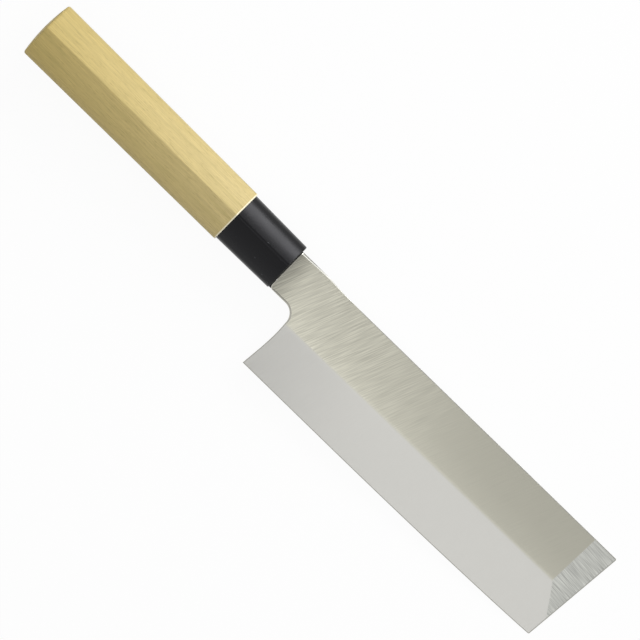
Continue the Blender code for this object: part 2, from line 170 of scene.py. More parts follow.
class BladeSizes(PropertyGroup):
    """Blade, neck and tang."""

    length: size("Length", "From the ferrule's mouth to the tip", 0.164945)
    spine: size("Spine height", "Spine over the handle's axis", 0.0075)
    depth: size("Depth", "From the spine to the edge at the heel", 0.0448)
    thickness: size("Thickness", "Thickness at the ferrule", 0.0030)
    tip_thickness: size("Tip thickness", "Thickness of the flat at the tip", 0.0024)
    edge_thickness: size("Edge thickness", "Thickness of the sharp edge as drawn", 0.0001)
    spine_rounding: size("Spine rounding", "Radius of the spine's eased corners", 0.00003)
    heel_rounding: size("Heel rounding", "Radius of the heel's and the tip's eased corners", 0.00006)
    margin: size("Margin", "Width of the duller margin along the blade's outline", 0.0003)

    edge_straight: size("Straight edge", "Where the edge starts to rise", 0.055)
    edge_rise: size("Edge rise", "How far the edge rises toward the tip", 0.0018)
    edge_tip_run: size("Edge tip run", "Length of the last straight stretch of the edge", 0.012)
    edge_tip_slope: angle("Edge tip slope", "Slope of that last stretch", 3.4)

    tip_lean: angle("Tip lean", "Lean of the squared tip", 5.7)
    tip_round: size("Tip corners", "Radius of the tip's two corners", 0.0005)
    tip_facet: size("Tip facet", "Width of the facet ground across the tip, at the spine", 0.0110)
    tip_facet_lean: angle("Tip facet lean", "Lean of that facet's inner line", 2.6)
    tip_end_thickness: size("Tip end thickness", "Thickness left at the end of the tip", 0.0010)

    bevel_drop_heel: size("Bevel line at heel", "Bevel's upper line under the spine", 0.0231)
    bevel_drop_tip: size("Bevel line at tip", "Bevel's upper line under the spine", 0.0221)
    shoulder_softness: size("Bevel line softness", "Half the width of the soft line", 0.00090)
    facet_softness: size("Facet line softness", "Half the width of the facet's line", 0.00016)
    hollow_depth: size("Hollow depth", "Depth of the hollow-ground back", 0.0003)
    hollow_rim: size("Hollow rim", "Flat rim left round the hollow", 0.0025)

    neck_back: size("Neck gap", "Gap between the neck and the ferrule", 0.0003)
    neck_depth: size("Neck depth", "Height of the neck", 0.0183)
    neck_rise: size("Neck rise", "Neck's spine over the blade's spine", 0.00075)
    neck_flat_top: size("Neck flat", "Where the neck's spine starts to fall", 0.0094)
    neck_top_round: size("Neck top round", "Radius of the neck's upper rear corner", 0.0005)
    neck_lower_round: size("Neck lower round", "Radius of its lower rear corner", 0.0015)
    neck_ease: size("Neck chamfer", "Chamfer along the neck's spine, at the ferrule", 0.0009)
    neck_ease_length: size("Neck chamfer length", "Where that chamfer has run out", 0.028)
    notch_reach: size("Notch reach", "From the ferrule's mouth to the front of the notch", 0.0139)
    notch_round: size("Notch round", "Radius of the finger notch", 0.00525)
    notch_ease: size("Notch rounding", "Radius of the notch's eased corners", 0.0004)
    heel_setback: size("Heel setback", "How far the heel lies behind the notch's front", 0.0011)
    heel_belly: size("Heel belly", "How far the heel's line swells", 0.0007)

    tang_length: size("Tang length", "Length of the tang in the handle", 0.088)
    tang_root: FloatVectorProperty(
        name="Tang root", description="Height and thickness", size=2, default=(0.0115, 0.0027)
    )
    tang_end: FloatVectorProperty(
        name="Tang end", description="Height and thickness", size=2, default=(0.0065, 0.0018)
    )


class HandleSizes(PropertyGroup):
    """Wooden grip, ferrule and sealing compound."""

    ridge_offset: size("Ridge offset", "Ridge over the middle of the section", 0.00065)
    ridge_slope: angle("Ridge slope", "Slope of the faces beside the ridge", 21.0)
    wood_length: size("Grip length", "From the ferrule to the butt", 0.1012)
    wood_half_height: size("Grip half height", "Half the grip's height at the butt", 0.0122)
    wood_front_half_height: size("Front half height", "Half its height at the ferrule", 0.01155)
    wood_back: size("Grip back", "From the axis to the round back", 0.0092)
    wood_ridge: size("Grip ridge", "From the axis to the ridge", 0.0100)
    wood_ridge_round: size("Grip ridge round", "Radius of the ridge", 0.0010)
    wood_butt_round: size("Butt round", "Radius of the butt's rim", 0.0010)
    wood_butt_bow: size("Butt bow", "How far the butt bows out inside its rim", 0.0009)
    wood_shoulder_ease: size("Shoulder ease", "Radius of the rim beside the ferrule", 0.0003)

    ferrule_length: size("Ferrule length", "Length of the ferrule", 0.027)
    ferrule_half_height: size("Ferrule half height", "Half its height at the grip", 0.01083)
    ferrule_front_half_height: size("Mouth half height", "Half its height at the mouth", 0.01045)
    ferrule_back: size("Ferrule back", "From the axis to its round back", 0.0085)
    ferrule_ridge: size("Ferrule ridge", "From the axis to its ridge", 0.0092)
    ferrule_ridge_round: size("Ferrule ridge round", "Radius of its ridge", 0.0025)
    ferrule_wall: size("Ferrule wall", "Wall round the tenon", 0.0020)
    ferrule_front_wall: size("Front wall", "Wall behind the neck", 0.0028)
    ferrule_ease: size("Mouth ease", "Radius of the mouth's rim", 0.0005)

    seal_wall: size("Seal wall", "Compound round the tang", 0.0009)
    slot_round: size("Slot round", "Radius of the slot's corners", 0.0012)
    clearance: size("Clearance", "Gap between pieces that touch", 0.0003)
    bead_gap: size("Bead gap", "Gap between the bead and the neck", 0.00004)


class FinishColors(PropertyGroup):
    """Colours of the finishes."""

    satin_steel: color("Satin steel", "Belt-satined flat", "#C7C5B7")
    ground_steel: color("Ground steel", "Fine-ground bevel", "#D5D4CF")
    coarse_steel: color("Coarse steel", "Tip facet", "#CBCCC6")
    bright_steel: color("Bright steel", "Burnished chamfers of the neck", "#DBDAD3")
    # The margin's darker tint is a thin line of painted shade along the outline
    rubbed_steel_and_shade: color("Rubbed steel", "Dull margin along the outline", "#AEADA6")
    wall_steel: color("Edge steel", "Spine, heel and tip end", "#B9B7AC")
    hollow_steel: color("Hollow steel", "Hollow-ground back", "#C9C8C0")
    magnolia: color("Magnolia", "Pale, bare wood at the butt", "#C3AE6C")
    # Paler than the butt: light and sheen painted in toward the ferrule
    magnolia_front_painted_light: color("Magnolia front", "The same wood at the ferrule", "#CEBB82")
    magnolia_ring: color("Magnolia ring", "Late wood, darker and more olive", "#A59759")
    magnolia_vessel: color("Magnolia vessel", "Fine dark vessels", "#8C7A45")
    # A painted highlight on the rim beside the ferrule
    magnolia_rim_highlight: color("Magnolia rim", "Sanded rim beside the ferrule", "#F6EDD0")
    plastic: color("Ferrule plastic", "Moulded black plastic", "#0C0C0D")
    plastic_nick: color("Ferrule nick", "Scuffed plastic in a nick", "#77777C")
    compound: color("Sealing compound", "Cured compound", "#0E0E0E")


class StudioSettings(PropertyGroup):
    """Camera and lamps."""

    camera_height: size("Camera height", "Camera over the knife", 4.0)
    focal_length: FloatProperty(name="Focal length", description="In millimetres", default=600.0)
    camera_turn: angle("Camera turn", "How the knife lies in the picture", 44.2)
    view_x: size("View x", "Point of the knife at the picture's middle", 0.02248)
    view_y: size("View y", "Point of the knife at the picture's middle", -0.00566)
    key: FloatProperty(name="Key", description="Power of the key softbox in watts", default=6.0)
    neck_light: FloatProperty(name="Neck light", description="Power in watts", default=0.031)
    bevel_light: FloatProperty(name="Bevel light", description="Power in watts", default=0.048)
    fill: FloatProperty(name="Fill", description="Strength of the soft light from above", default=1.25)
    ceiling: FloatProperty(name="Ceiling", description="White is 1", default=0.59)
    glow_share: FloatProperty(name="Plain white", description="Share of the floor", default=0.94)


class KnifeSettings(PropertyGroup):
    """Everything that the knife's operators read."""

    blade: PointerProperty(type=BladeSizes)
    handle: PointerProperty(type=HandleSizes)
    finish: PointerProperty(type=FinishColors)
    studio: PointerProperty(type=StudioSettings)


# Where the knife lies


def knife_axes(handle):
    """Matrices of the knife's own axes and of the handle's, which turn a little from them."""
    butt = next(m for m in frame["record"]["mounts"] if m["name"] == "butt_end")
    axis = Vector(butt["axis"])
    reach = handle.ferrule_length + handle.wood_length
    place = Matrix.Translation(Vector(butt["pos_m"]) - axis * reach)
    pitch = Matrix.Rotation(math.atan2(axis.z, -axis.x), 4, "Y")
    turn = Matrix.Rotation(-math.asin(axis.y), 4, "Z")
    knife = place @ pitch
    return knife, knife @ turn


# Outline curves


def stretch(start, first_handle, second_handle, end, count):
    """Points along one smooth stretch, both ends among them."""
    t = np.linspace(0.0, 1.0, count)[:, None]
    ends = [np.asarray(point, float) for point in (start, first_handle, second_handle, end)]
    weights = ((1 - t) ** 3, 3 * t * (1 - t) ** 2, 3 * t**2 * (1 - t), t**3)
    return sum(weight * point for weight, point in zip(weights, ends))


def fillet(before, corner, after, radius, count=ARC_POINTS):
    """Points along the arc that rounds a corner between two straight lines."""
    before, corner, after = (Vector(point) for point in (before, corner, after))
    backward, forward = (before - corner).normalized(), (after - corner).normalized()
    opening = backward.angle(forward)
    reach = radius / math.tan(opening / 2)
    handle = reach - radius * math.tan((math.pi - opening) / 4) * 4 / 3
    return stretch(
        corner + backward * reach,
        corner + backward * handle,
        corner + forward * handle,
        corner + forward * reach,
        count,
    )


def spaced(points, spacing):
    """The polyline with points at an even spacing, both ends kept."""
    lengths = np.r_[0.0, np.cumsum(np.linalg.norm(np.diff(points, axis=0), axis=1))]
    count = max(2, round(lengths[-1] / spacing) + 1)
    along = np.linspace(0.0, lengths[-1], count)
    return np.column_stack([np.interp(along, lengths, points[:, i]) for i in (0, 1)])


def straight_line(start, end, spacing):
    """Points along a straight line at an even spacing, both ends among them."""
    return spaced(np.array((start, end)), spacing)


def inset(loop, reach):
    """A counter-clockwise loop moved inward by a reach at each point."""
    ahead = np.roll(loop, -1, axis=0) - loop
    ahead /= np.linalg.norm(ahead, axis=1)[:, None]
    after = np.column_stack([-ahead[:, 1], ahead[:, 0]])
    before = np.roll(after, 1, axis=0)
    normal = before + after
    normal /= np.linalg.norm(normal, axis=1)[:, None]
    miter = 1 / np.maximum((normal * after).sum(axis=1), 0.5)
    return loop + normal * (miter * reach)[:, None]


# Blade: its lines and the heights of its two sides


def back_z(b):
    return -b.thickness / 2


def heel_x(b):
    return b.notch_reach - b.heel_setback


def edge_y(b):
    return b.spine - b.depth


def neck_top(b):
    return b.spine + b.neck_rise


def tip_x(b, y):
    """Where the leaning end lies, at a height."""
    return b.length - (b.spine - y) * math.tan(b.tip_lean)


def facet_x(b, y):
    """Where the tip facet starts, at a height."""
    return b.length - b.tip_facet - (b.spine - y) * math.tan(b.tip_facet_lean)


def face_z(b, x):
    """Height of the tapering right face."""
    return b.thickness / 2 + (b.tip_thickness - b.thickness) * x / b.length


def shoulder_y(b, x):
    """Height of the long bevel's upper line."""
    share = (x - heel_x(b)) / (tip_x(b, edge_y(b)) - heel_x(b))
    return b.spine - b.bevel_drop_heel - (b.bevel_drop_tip - b.bevel_drop_heel) * share


def edge_curve(b):
    """The edge from the heel to the tip's corner, and that corner's own point."""
    low, rise = edge_y(b), b.edge_rise
    corner = np.array((tip_x(b, low + rise), low + rise))
    run = np.array((b.edge_tip_run, b.edge_tip_run * math.tan(b.edge_tip_slope)))
    start = np.array((b.edge_straight, low))
    middle = np.array(((start[0] + corner[0]) / 2, low))
    tip_arc = fillet(corner - run, corner, (b.length, b.spine), b.tip_round)
    straight = np.array(((heel_x(b), low), start))
    rising = stretch(start, middle, corner - run, tip_arc[0], 40)
    return straight, rising, tip_arc, corner


def neck_fall(b):
    """The spine's easy fall from the neck to the blade, toward the neck."""
    start = np.array((b.neck_ease_length, b.spine))
    end = np.array((b.neck_flat_top, neck_top(b)))
    half = np.array(((start[0] - end[0]) / 2, 0.0))
    return stretch(start, start - half, end + half, end, 25)


def blade_outline(b):
    """The outline's points, counter-clockwise from the right side, and each point's rounding."""
    back, top, low = b.neck_back, neck_top(b), neck_top(b) - b.neck_depth
    notch_end = np.array((b.notch_reach, low - b.notch_round))
    heel = np.array((heel_x(b), edge_y(b)))
    third = np.array((0.0, (heel[1] - notch_end[1]) / 3))
    belly = np.array((b.heel_belly, 0.0))
    straight, rising, tip_arc, tip_corner = edge_curve(b)
    rear_arc = fillet((back, top), (back, low), (b.notch_reach, low), b.neck_lower_round)
    notch_arc = fillet((back, low), (b.notch_reach, low), notch_end, b.notch_round, 25)
    heel_line = stretch(notch_end, notch_end + third + belly, heel - third + belly, heel, 30)
    top_arc = fillet(tip_corner, (b.length, b.spine), (b.neck_ease_length, b.spine), b.tip_round)
    fall = neck_fall(b)
    neck_arc = fillet(fall[-1], (back, top), (back, low), b.neck_top_round)
    stretches = [
        (straight_line(neck_arc[-1], rear_arc[0], LONG_SPACING), b.heel_rounding),
        (rear_arc, b.heel_rounding),
        (straight_line(rear_arc[-1], notch_arc[0], SHORT_SPACING), b.notch_ease),
        (notch_arc, b.notch_ease),
        (spaced(heel_line, HEEL_SPACING), b.heel_rounding),
        (spaced(straight, LONG_SPACING), 0.0),
        (spaced(rising, LONG_SPACING), 0.0),
        (tip_arc, 0.0),
        (straight_line(tip_arc[-1], top_arc[0], TIP_END_SPACING), b.heel_rounding),
        (top_arc, b.heel_rounding),
        (straight_line(top_arc[-1], fall[0], LONG_SPACING), b.spine_rounding),
        (spaced(fall, SHORT_SPACING), b.spine_rounding),
        (straight_line(fall[-1], neck_arc[0], SHORT_SPACING), b.spine_rounding),
        (neck_arc, b.heel_rounding),
    ]
    points = np.vstack([line[:-1] for line, _ in stretches])
    rounding = np.concatenate([np.full(len(line) - 1, r) for line, r in stretches])
    for _ in range(EASING_PASSES):
        rounding = (np.roll(rounding, 1) + 2 * rounding + np.roll(rounding, -1)) / 4
    return points, np.maximum(rounding, LEAST_ROUNDING)


def soft_min(first, second, depth):
    """The lower of two heights, with a rounded crease of that depth."""
    return np.minimum(first, second) - np.maximum(depth - abs(first - second), 0) ** 2 / (4 * depth)


class BladeSides:
    """Heights of the blade's ground right side and hollow back, at any x and y."""

    def __init__(self, b):
        self.b = b
        straight, rising, tip_arc, _ = edge_curve(b)
        self.edge = np.vstack((straight, rising[1:], tip_arc[1:]))
        self.top = np.vstack(((b.length, b.spine), neck_fall(b), (0.0, neck_top(b))))[::-1]
        low = b.hollow_rim + np.array((b.notch_reach, edge_y(b) + b.edge_rise))
        high = np.array((tip_x(b, low[1]) - b.hollow_rim, b.spine - b.hollow_rim))
        self.hollow_middle, self.hollow_half = (low + high) / 2, (high - low) / 2

    def edge_at(self, x):
        return np.interp(x, self.edge[:, 0], self.edge[:, 1])

    def chamfer_width(self, x):
        """Width of the neck's chamfer."""
        return self.b.neck_ease * (1 - x / self.b.neck_ease_length)

    def spine_at(self, x):
        return np.interp(x, self.top[:, 0], self.top[:, 1])

    def planes(self, x, y):
        """Heights of the flat, the long bevel, the tip facet and the neck's chamfer."""
        b = self.b
        face = face_z(b, x)
        shoulder, edge = shoulder_y(b, x), self.edge_at(x)
        drop = face - back_z(b) - b.edge_thickness
        bevel = face - drop * (shoulder - y) / (shoulder - edge)
        inner, end = facet_x(b, y), tip_x(b, y)
        facet_top = face_z(b, inner)
        facet_drop = facet_top - back_z(b) - b.tip_end_thickness
        facet = facet_top - facet_drop * (x - inner) / (end - inner)
        chamfer = face - self.chamfer_width(x) + self.spine_at(x) - y
        chamfer = np.where(x < b.neck_ease_length, chamfer, face + b.thickness)
        return face, bevel, facet, chamfer

    def right(self, x, y):
        """Height of the right side."""
        b = self.b
        face, bevel, facet, chamfer = self.planes(x, y)
        bevel_slope = b.thickness / (b.depth - b.bevel_drop_heel)
        facet_slope = (b.tip_thickness - b.tip_end_thickness) / b.tip_facet
        ground = soft_min(face, bevel, b.shoulder_softness * bevel_slope)
        ground = soft_min(ground, facet, b.facet_softness * facet_slope)
        return soft_min(ground, chamfer, CHAMFER_CREASE)

    def region(self, x, y):
        """Which surface shows on the right side: 0 flat, 1 long bevel, 2 tip facet, 3 chamfer."""
        return np.argmin(self.planes(x, y), axis=0)

    def back(self, x, y):
        """Height of the hollow back."""
        b = self.b
        middle, half = self.hollow_middle, self.hollow_half
        p, q = (x - middle[0]) / half[0], (y - middle[1]) / half[1]
        hollow = b.hollow_depth * (1 - abs(p) ** HOLLOW_SQUARENESS - q**2)
        chamfer = self.chamfer_width(x) - self.spine_at(x) + y
        chamfer = np.where(x < b.neck_ease_length, chamfer, 0.0)
        ground = soft_min(-hollow, 0.0 * hollow, RIM_CREASE)
        return back_z(b) - soft_min(ground, -chamfer, BACK_CHAMFER_CREASE)

    def facet_edge(self, count=40):
        """The line where the long bevel meets the tip facet."""
        b = self.b
        y = np.linspace(shoulder_y(b, facet_x(b, MEETING_Y)), self.edge[-1, 1], count)
        low, high = facet_x(b, y) - b.tip_facet, tip_x(b, y)
        for _ in range(HALVINGS):
            x = (low + high) / 2
            _, bevel, facet, _ = self.planes(x, y)
            low, high = np.where(facet > bevel, x, low), np.where(facet > bevel, high, x)
        return np.column_stack((x, y))


def inside(points, loop, margin):
    """Which points lie inside a loop, by at least the margin."""
    ends = np.roll(loop, -1, axis=0)
    px, py = points[:, 0][:, None], points[:, 1][:, None]
    crosses = (loop[:, 1] > py) != (ends[:, 1] > py)
    rise = np.where(ends[:, 1] == loop[:, 1], 1.0, ends[:, 1] - loop[:, 1])
    at = loop[:, 0] + (py - loop[:, 1]) * (ends[:, 0] - loop[:, 0]) / rise
    within = (crosses & (px < at)).sum(axis=1) % 2 == 1
    along = ends - loop
    length = (along**2).sum(axis=1)
    share = ((px - loop[:, 0]) * along[:, 0] + (py - loop[:, 1]) * along[:, 1]) / length
    share = np.clip(share, 0.0, 1.0)
    gap = np.hypot(px - loop[:, 0] - share * along[:, 0], py - loop[:, 1] - share * along[:, 1])
    return within & (gap.min(axis=1) > margin)


def fill_area(loop, lines):
    """Triangles inside a loop, following the lines. The loop's own points come first."""
    low, high = loop.min(axis=0), loop.max(axis=0)
    steps = [np.arange(low[i] + AREA_SPACING / 2, high[i], AREA_SPACING) for i in (0, 1)]
    grid = np.stack(np.meshgrid(*steps), axis=-1).reshape(-1, 2)
    points, edges = [loop], []
    count = len(loop)
    drawn = []
    for line in lines:
        kept = inside(line, loop, NEAR_LOOP / 4)
        for run in np.split(np.arange(len(line)), np.flatnonzero(~kept)):
            run = run[kept[run]]
            if len(run) > 1:
                edges += [(count + i, count + i + 1) for i in range(len(run) - 1)]
                points.append(line[run])
                drawn.append(line[run])
                count += len(run)
    grid = grid[inside(grid, loop, NEAR_LOOP)]
    if drawn:
        near = np.vstack(drawn)
        gap = np.hypot(grid[:, :1] - near[:, 0], grid[:, 1:] - near[:, 1]).min(axis=1)
        grid = grid[gap > NEAR_LOOP]
    points.append(grid)
    spots = [Vector(point) for point in np.vstack(points)]
    border = [list(range(len(loop)))]
    result = delaunay_2d_cdt(spots, edges, border, INSIDE_ONLY, SAME_POINT)
    found, triangles, origins = np.array(result[0]), result[2], result[3]
    order = {}
    extra = len(loop)
    for index, origin in enumerate(origins):
        own = [i for i in origin if i < len(loop)]
        order[index] = own[0] if own else extra
        extra += not own
    placed = np.zeros((extra, 2))
    placed[: len(loop)] = loop
    for index, new in order.items():
        if new >= len(loop):
            placed[new] = found[index]
    return placed, [[order[i] for i in triangle] for triangle in triangles]


def offset_lines(line, reach, shares):
    """Copies of a polyline moved sideways by shares of a reach."""
    along = np.gradient(line, axis=0)
    along /= np.linalg.norm(along, axis=1)[:, None]
    side = np.column_stack([-along[:, 1], along[:, 0]])
    return [line + side * reach * share for share in shares]


def right_lines(b, sides):
    """The creases of the right side, each as a few lines across its soft width."""
    x = np.arange(heel_x(b) - MM, facet_x(b, MEETING_Y), CREASE_SPACING)
    x = np.append(x, facet_x(b, MEETING_Y))
    shoulder = np.column_stack((x, shoulder_y(b, x)))
    y = np.arange(b.spine + MM, shoulder[-1, 1], -MM)
    y = np.append(y, shoulder[-1, 1])
    inner = np.column_stack((facet_x(b, y), y))
    diagonal = sides.facet_edge()
    lines = offset_lines(shoulder, b.shoulder_softness, (-1, -0.5, 0, 0.5, 1))
    lines += offset_lines(inner, b.facet_softness, (-1, 0, 1))
    lines += offset_lines(diagonal, b.facet_softness, (-1, 0, 1))
    return lines


def back_lines(sides):
    """The rim of the hollow."""
    turn = np.linspace(0.0, 2 * math.pi, 160)
    q = np.sin(turn)
    p = np.sign(np.cos(turn)) * np.maximum(1 - q**2, 0.0) ** (1 / HOLLOW_SQUARENESS)
    return [sides.hollow_middle + np.column_stack((p, q)) * sides.hollow_half]


def rounded_rings(loop, rounding, height, outward):
    """Loops from the side wall in to a face, round its eased corner, and the heights there."""
    rings = []
    for step in range(ROUNDING_STEPS + 1):
        turn = math.pi / 2 * (1 - step / ROUNDING_STEPS)
        ring = inset(loop, rounding * (1 - math.sin(turn)))
        z = height(ring[:, 0], ring[:, 1]) - outward * rounding * (1 - math.cos(turn))
        rings.append((ring, z))
    return rings


def margin_reach(b, sides, loop, radius):
    """How far in from the outline its margin ends. Along the neck's spine that is its chamfer."""
    x, y = loop.T
    width = np.maximum(sides.chamfer_width(x), LEAST_MARGIN)
    beyond = np.maximum(x - b.neck_ease_length, 0.0) * MARGIN_WIDENING
    along_spine = np.minimum(width + beyond, radius + b.margin)
    along_neck = np.where(x < b.neck_ease_length, width, along_spine)
    in_corner = x < b.neck_back + b.neck_top_round
    along_neck = np.where(in_corner, CORNER_MARGIN * b.neck_top_round, along_neck)
    return np.where(y > sides.spine_at(x) - b.neck_top_round / 2, along_neck, radius + b.margin)


# Slots of the blade's materials. The first four are in the order of its planes
FLAT, BEVEL, TIP, CHAMFER, MARGIN, WALL, HOLLOW = range(7)


def blade_body(b):
    """Vertices, faces and their slots of the blade and neck, as one closed body."""
    sides = BladeSides(b)
    loop, rounding = blade_outline(b)
    thickness = sides.right(*loop.T) - sides.back(*loop.T)
    radius = np.minimum(rounding, thickness * ROUNDING_ROOM)
    reach = margin_reach(b, sides, loop, radius)
    rubbed = np.interp(loop[:, 0], RUBBED_PLACES, RUBBED_SHARES)
    middle = inset(loop, np.maximum(rubbed * reach, radius + LEAST_RUBBED))
    inner = inset(loop, reach)
    at_rear = loop[:, 0] < b.neck_back + REAR_WALL_SHARE * b.neck_lower_round
    inner_shown = np.where(at_rear, WALL, MARGIN)
    inner_shown[sides.region(*((loop + inner) / 2).T) == CHAMFER] = CHAMFER
    outer_shown = np.where(inner_shown == WALL, WALL, MARGIN)
    vertices, faces, slots = [], [], []

    def add_ring(ring, z):
        start = len(vertices)
        vertices.extend(np.column_stack((ring, z)))
        return start

    def bridge(first, second, shown, outward=1):
        n = len(loop)
        for i in range(n):
            j = (i + 1) % n
            corners = (first + i, first + j, second + j, second + i)
            faces.append(corners if outward > 0 else corners[::-1])
            slots.append(shown[i])

    walls = []
    for height, lines, outward in (
        (sides.right, right_lines(b, sides), 1),
        (sides.back, back_lines(sides), -1),
    ):
        rings = rounded_rings(loop, radius, height, outward)
        rings += [(middle, height(*middle.T)), (inner, height(*inner.T))]
        starts = [add_ring(*ring) for ring in rings]
        for outer_start, inner_start in zip(starts[:-2], starts[1:-2]):
            bridge(outer_start, inner_start, [WALL] * len(loop), outward)
        bridge(starts[-3], starts[-2], outer_shown.tolist(), outward)
        bridge(starts[-2], starts[-1], inner_shown.tolist(), outward)
        placed, triangles = fill_area(inner, lines)
        extra = placed[len(loop) :]
        more = add_ring(extra, height(*extra.T)) - len(loop)
        for triangle in triangles:
            corners = [starts[-1] + i if i < len(loop) else more + i for i in triangle]
            shown = sides.region(*placed[triangle].mean(axis=0)) if outward > 0 else HOLLOW
            faces.append(corners if outward > 0 else corners[::-1])
            slots.append(int(shown))
        walls.append(starts[0])
    bridge(walls[1], walls[0], [WALL] * len(loop))
    return np.array(vertices), faces, slots


def tang_size(b, x):
    """The tapering tang's height and thickness at x."""
    share = -x / b.tang_length
    return [root + (end - root) * share for root, end in zip(b.tang_root, b.tang_end)]


def tang_bar(b):
    """The tang as a tapered bar, which reaches a little into the neck."""
    bar = bmesh.new()
    bmesh.ops.create_cube(bar, size=2.0)
    for vert in bar.verts:
        x = TANG_OVERLAP if vert.co.x > 0 else -b.tang_length
        height, thickness = tang_size(b, x)
        vert.co = (x, vert.co.y * height / 2, vert.co.z * thickness / 2)
    mesh = bpy.data.meshes.new("tang_bar")
    bar.to_mesh(mesh)
    bar.free()
    return mesh


# Pieces as Blender objects


def mesh_from(name, vertices, faces, slots=None):
    """A mesh whose faces point outward."""
    mesh = bpy.data.meshes.new(name)
    mesh.from_pydata([tuple(v) for v in vertices], [], faces)
    if slots:
        mesh.polygons.foreach_set("material_index", slots)
    bm = bmesh.new()
    bm.from_mesh(mesh)
    bmesh.ops.recalc_face_normals(bm, faces=bm.faces)
    bm.to_mesh(mesh)
    bm.free()
    return mesh


def smooth(piece, degrees):
    """Shades a piece smooth between its sharp corners, with its large faces leading."""
    piece.data.shade_smooth()
    piece.data.set_sharp_from_angle(angle=math.radians(degrees))
    weighted = piece.modifiers.new("weighted_normals", "WEIGHTED_NORMAL")
    weighted.keep_sharp = True
    weighted.weight = 80


def new_piece(name, mesh, axes, node, materials, corners):
    """Puts a piece in its place, gives it its finishes, hides its CAD node and shades it."""
    mesh.transform(axes)
    for made in materials:
        mesh.materials.append(made)
    piece = bpy.data.objects.new(name, mesh)
    bpy.context.scene.collection.objects.link(piece)
    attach(piece, BODY)
    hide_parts(node)
    smooth(piece, corners)


def joined(name, first, second):
    """One closed mesh made of two that overlap."""
    parts = [bpy.data.objects.new("part_to_join", mesh) for mesh in (first, second)]
    for part in parts:
        bpy.context.scene.collection.objects.link(part)
    union = parts[0].modifiers.new("joined", "BOOLEAN")
    union.operation = "UNION"
    union.object = parts[1]
    bpy.context.view_layer.update()
    graph = bpy.context.evaluated_depsgraph_get()
    whole = bpy.data.meshes.new_from_object(parts[0].evaluated_get(graph))
    whole.name = name
    for part in parts:
        bpy.data.objects.remove(part)
    return whole


def plan_map(mesh, name):
    """A map of the blade seen square on, in millimetres, which gives the shader its direction."""
    layer = mesh.uv_layers.new(name=name)
    vertices = np.empty(len(mesh.vertices) * 3)
    mesh.vertices.foreach_get("co", vertices)
    corners = np.empty(len(mesh.loops), int)
    mesh.loops.foreach_get("vertex_index", corners)
    places = vertices.reshape(-1, 3)[corners][:, :2] / MM
    layer.uv.foreach_set("vector", places.ravel())


# Handle: rings of points along its axis


def handle_section(h, half_height, back, ridge, ridge_round, drawn_in=0.0):
    """The D-shaped section, as y toward the spine and z toward the right side."""
    side, back, ridge = half_height - drawn_in, back - drawn_in, ridge - drawn_in
    circle = 4 / 3 * math.tan(math.pi / 8)
    apex = np.array((h.ridge_offset, ridge))
    slope = h.ridge_slope
    ahead = np.array((math.cos(slope), -math.sin(slope)))
    behind = ahead * (-1, 1)
    cut = ridge_round * math.tan(slope)
    arc = cut - ridge_round * math.tan(slope / 2) * 4 / 3
    places = [
        (apex + ahead * cut, apex + ahead * arc, apex + ahead * side / 2),
        ((side, 0.0), (side, ridge / 2), (side, -back * circle)),
        ((0.0, -back), (side * circle, -back), (-side * circle, -back)),
        ((-side, 0.0), (-side, -back * circle), (-side, ridge / 2)),
        (apex + behind * cut, apex + behind * side / 2, apex + behind * arc),
    ]
    points = []
    for here, there in zip(places, places[1:] + places[:1]):
        points.append(stretch(here[0], here[2], there[1], there[0], SECTION_POINTS)[:-1])
    return np.vstack(points)


def bar_section(half_height, half_width, corner, like):
    """A bar's section with rounded corners, with a point in the direction of each of another's."""
    corners = [(half_height * u, half_width * v) for u, v in SQUARE]
    loop = []
    for index, place in enumerate(corners):
        after = corners[(index + 1) % 4]
        loop.append(fillet(corners[index - 1], place, after, max(corner, 0.01 * MM)))
    loop = spaced(np.vstack(loop + loop[:1]), 0.05 * MM)
    turn = np.arctan2(loop[:, 1], loop[:, 0])
    reach = np.hypot(loop[:, 0], loop[:, 1])
    order = np.argsort(turn)
    wanted = np.arctan2(like[:, 1], like[:, 0])
    reach = np.interp(wanted, turn[order], reach[order], period=2 * math.pi)
    return np.column_stack((np.cos(wanted), np.sin(wanted))) * reach[:, None]


def ring(x, section, scale=1.0):
    """A section's points at a place along the handle's axis."""
    return np.column_stack((np.full(len(section), x), section * scale))


def rounded_end(x, half_height, ease, inward, full_height):
    """Places and scales that round an end's rim, from the full section outward."""
    stations = []
    for step in range(2 * ROUNDING_STEPS + 1):
        turn = math.pi / 2 * step / (2 * ROUNDING_STEPS)
        drawn_in = ease * (1 - math.cos(turn))
        place = x + inward * ease * (1 - math.sin(turn))
        stations.append((place, (half_height - drawn_in) / full_height))
    return stations


def loft(name, rings, closed=False):
    """A mesh skinned over rings of as many points each, capped unless it closes on itself."""
    count = len(rings[0])
    faces = []
    pairs = list(zip(range(len(rings)), range(1, len(rings))))
    if closed:
        pairs.append((len(rings) - 1, 0))
    else:
        faces.append(list(range(count)))
        faces.append(list(range(len(rings) * count - 1, (len(rings) - 1) * count - 1, -1)))
    for first, second in pairs:
        for i in range(count):
            j = (i + 1) % count
            corners = (first * count + i, first * count + j, second * count + j)
            faces.append((*corners, second * count + i))
    return mesh_from(name, np.vstack(rings), faces)


def grip_section(h):
    """The wood's outer section where it is fullest."""
    return handle_section(h, h.wood_half_height, h.wood_back, h.wood_ridge, h.wood_ridge_round)


def ferrule_section(h, drawn_in=0.0):
    """The ferrule's outer section where it is fullest, drawn in all round."""
    full = (h.ferrule_half_height, h.ferrule_back, h.ferrule_ridge, h.ferrule_ridge_round)
    return handle_section(h, *full, drawn_in)


def bore_inset(h):
    """How far the ferrule's bore lies inside its outer section."""
    return h.ferrule_half_height - h.ferrule_front_half_height + h.ferrule_wall


def tang_room(b, h, x, like):
    """The section of the space for the tang at x."""
    height, thickness = tang_size(b, x)
    return bar_section(height / 2 + h.clearance, thickness / 2 + h.clearance, 0.0, like)


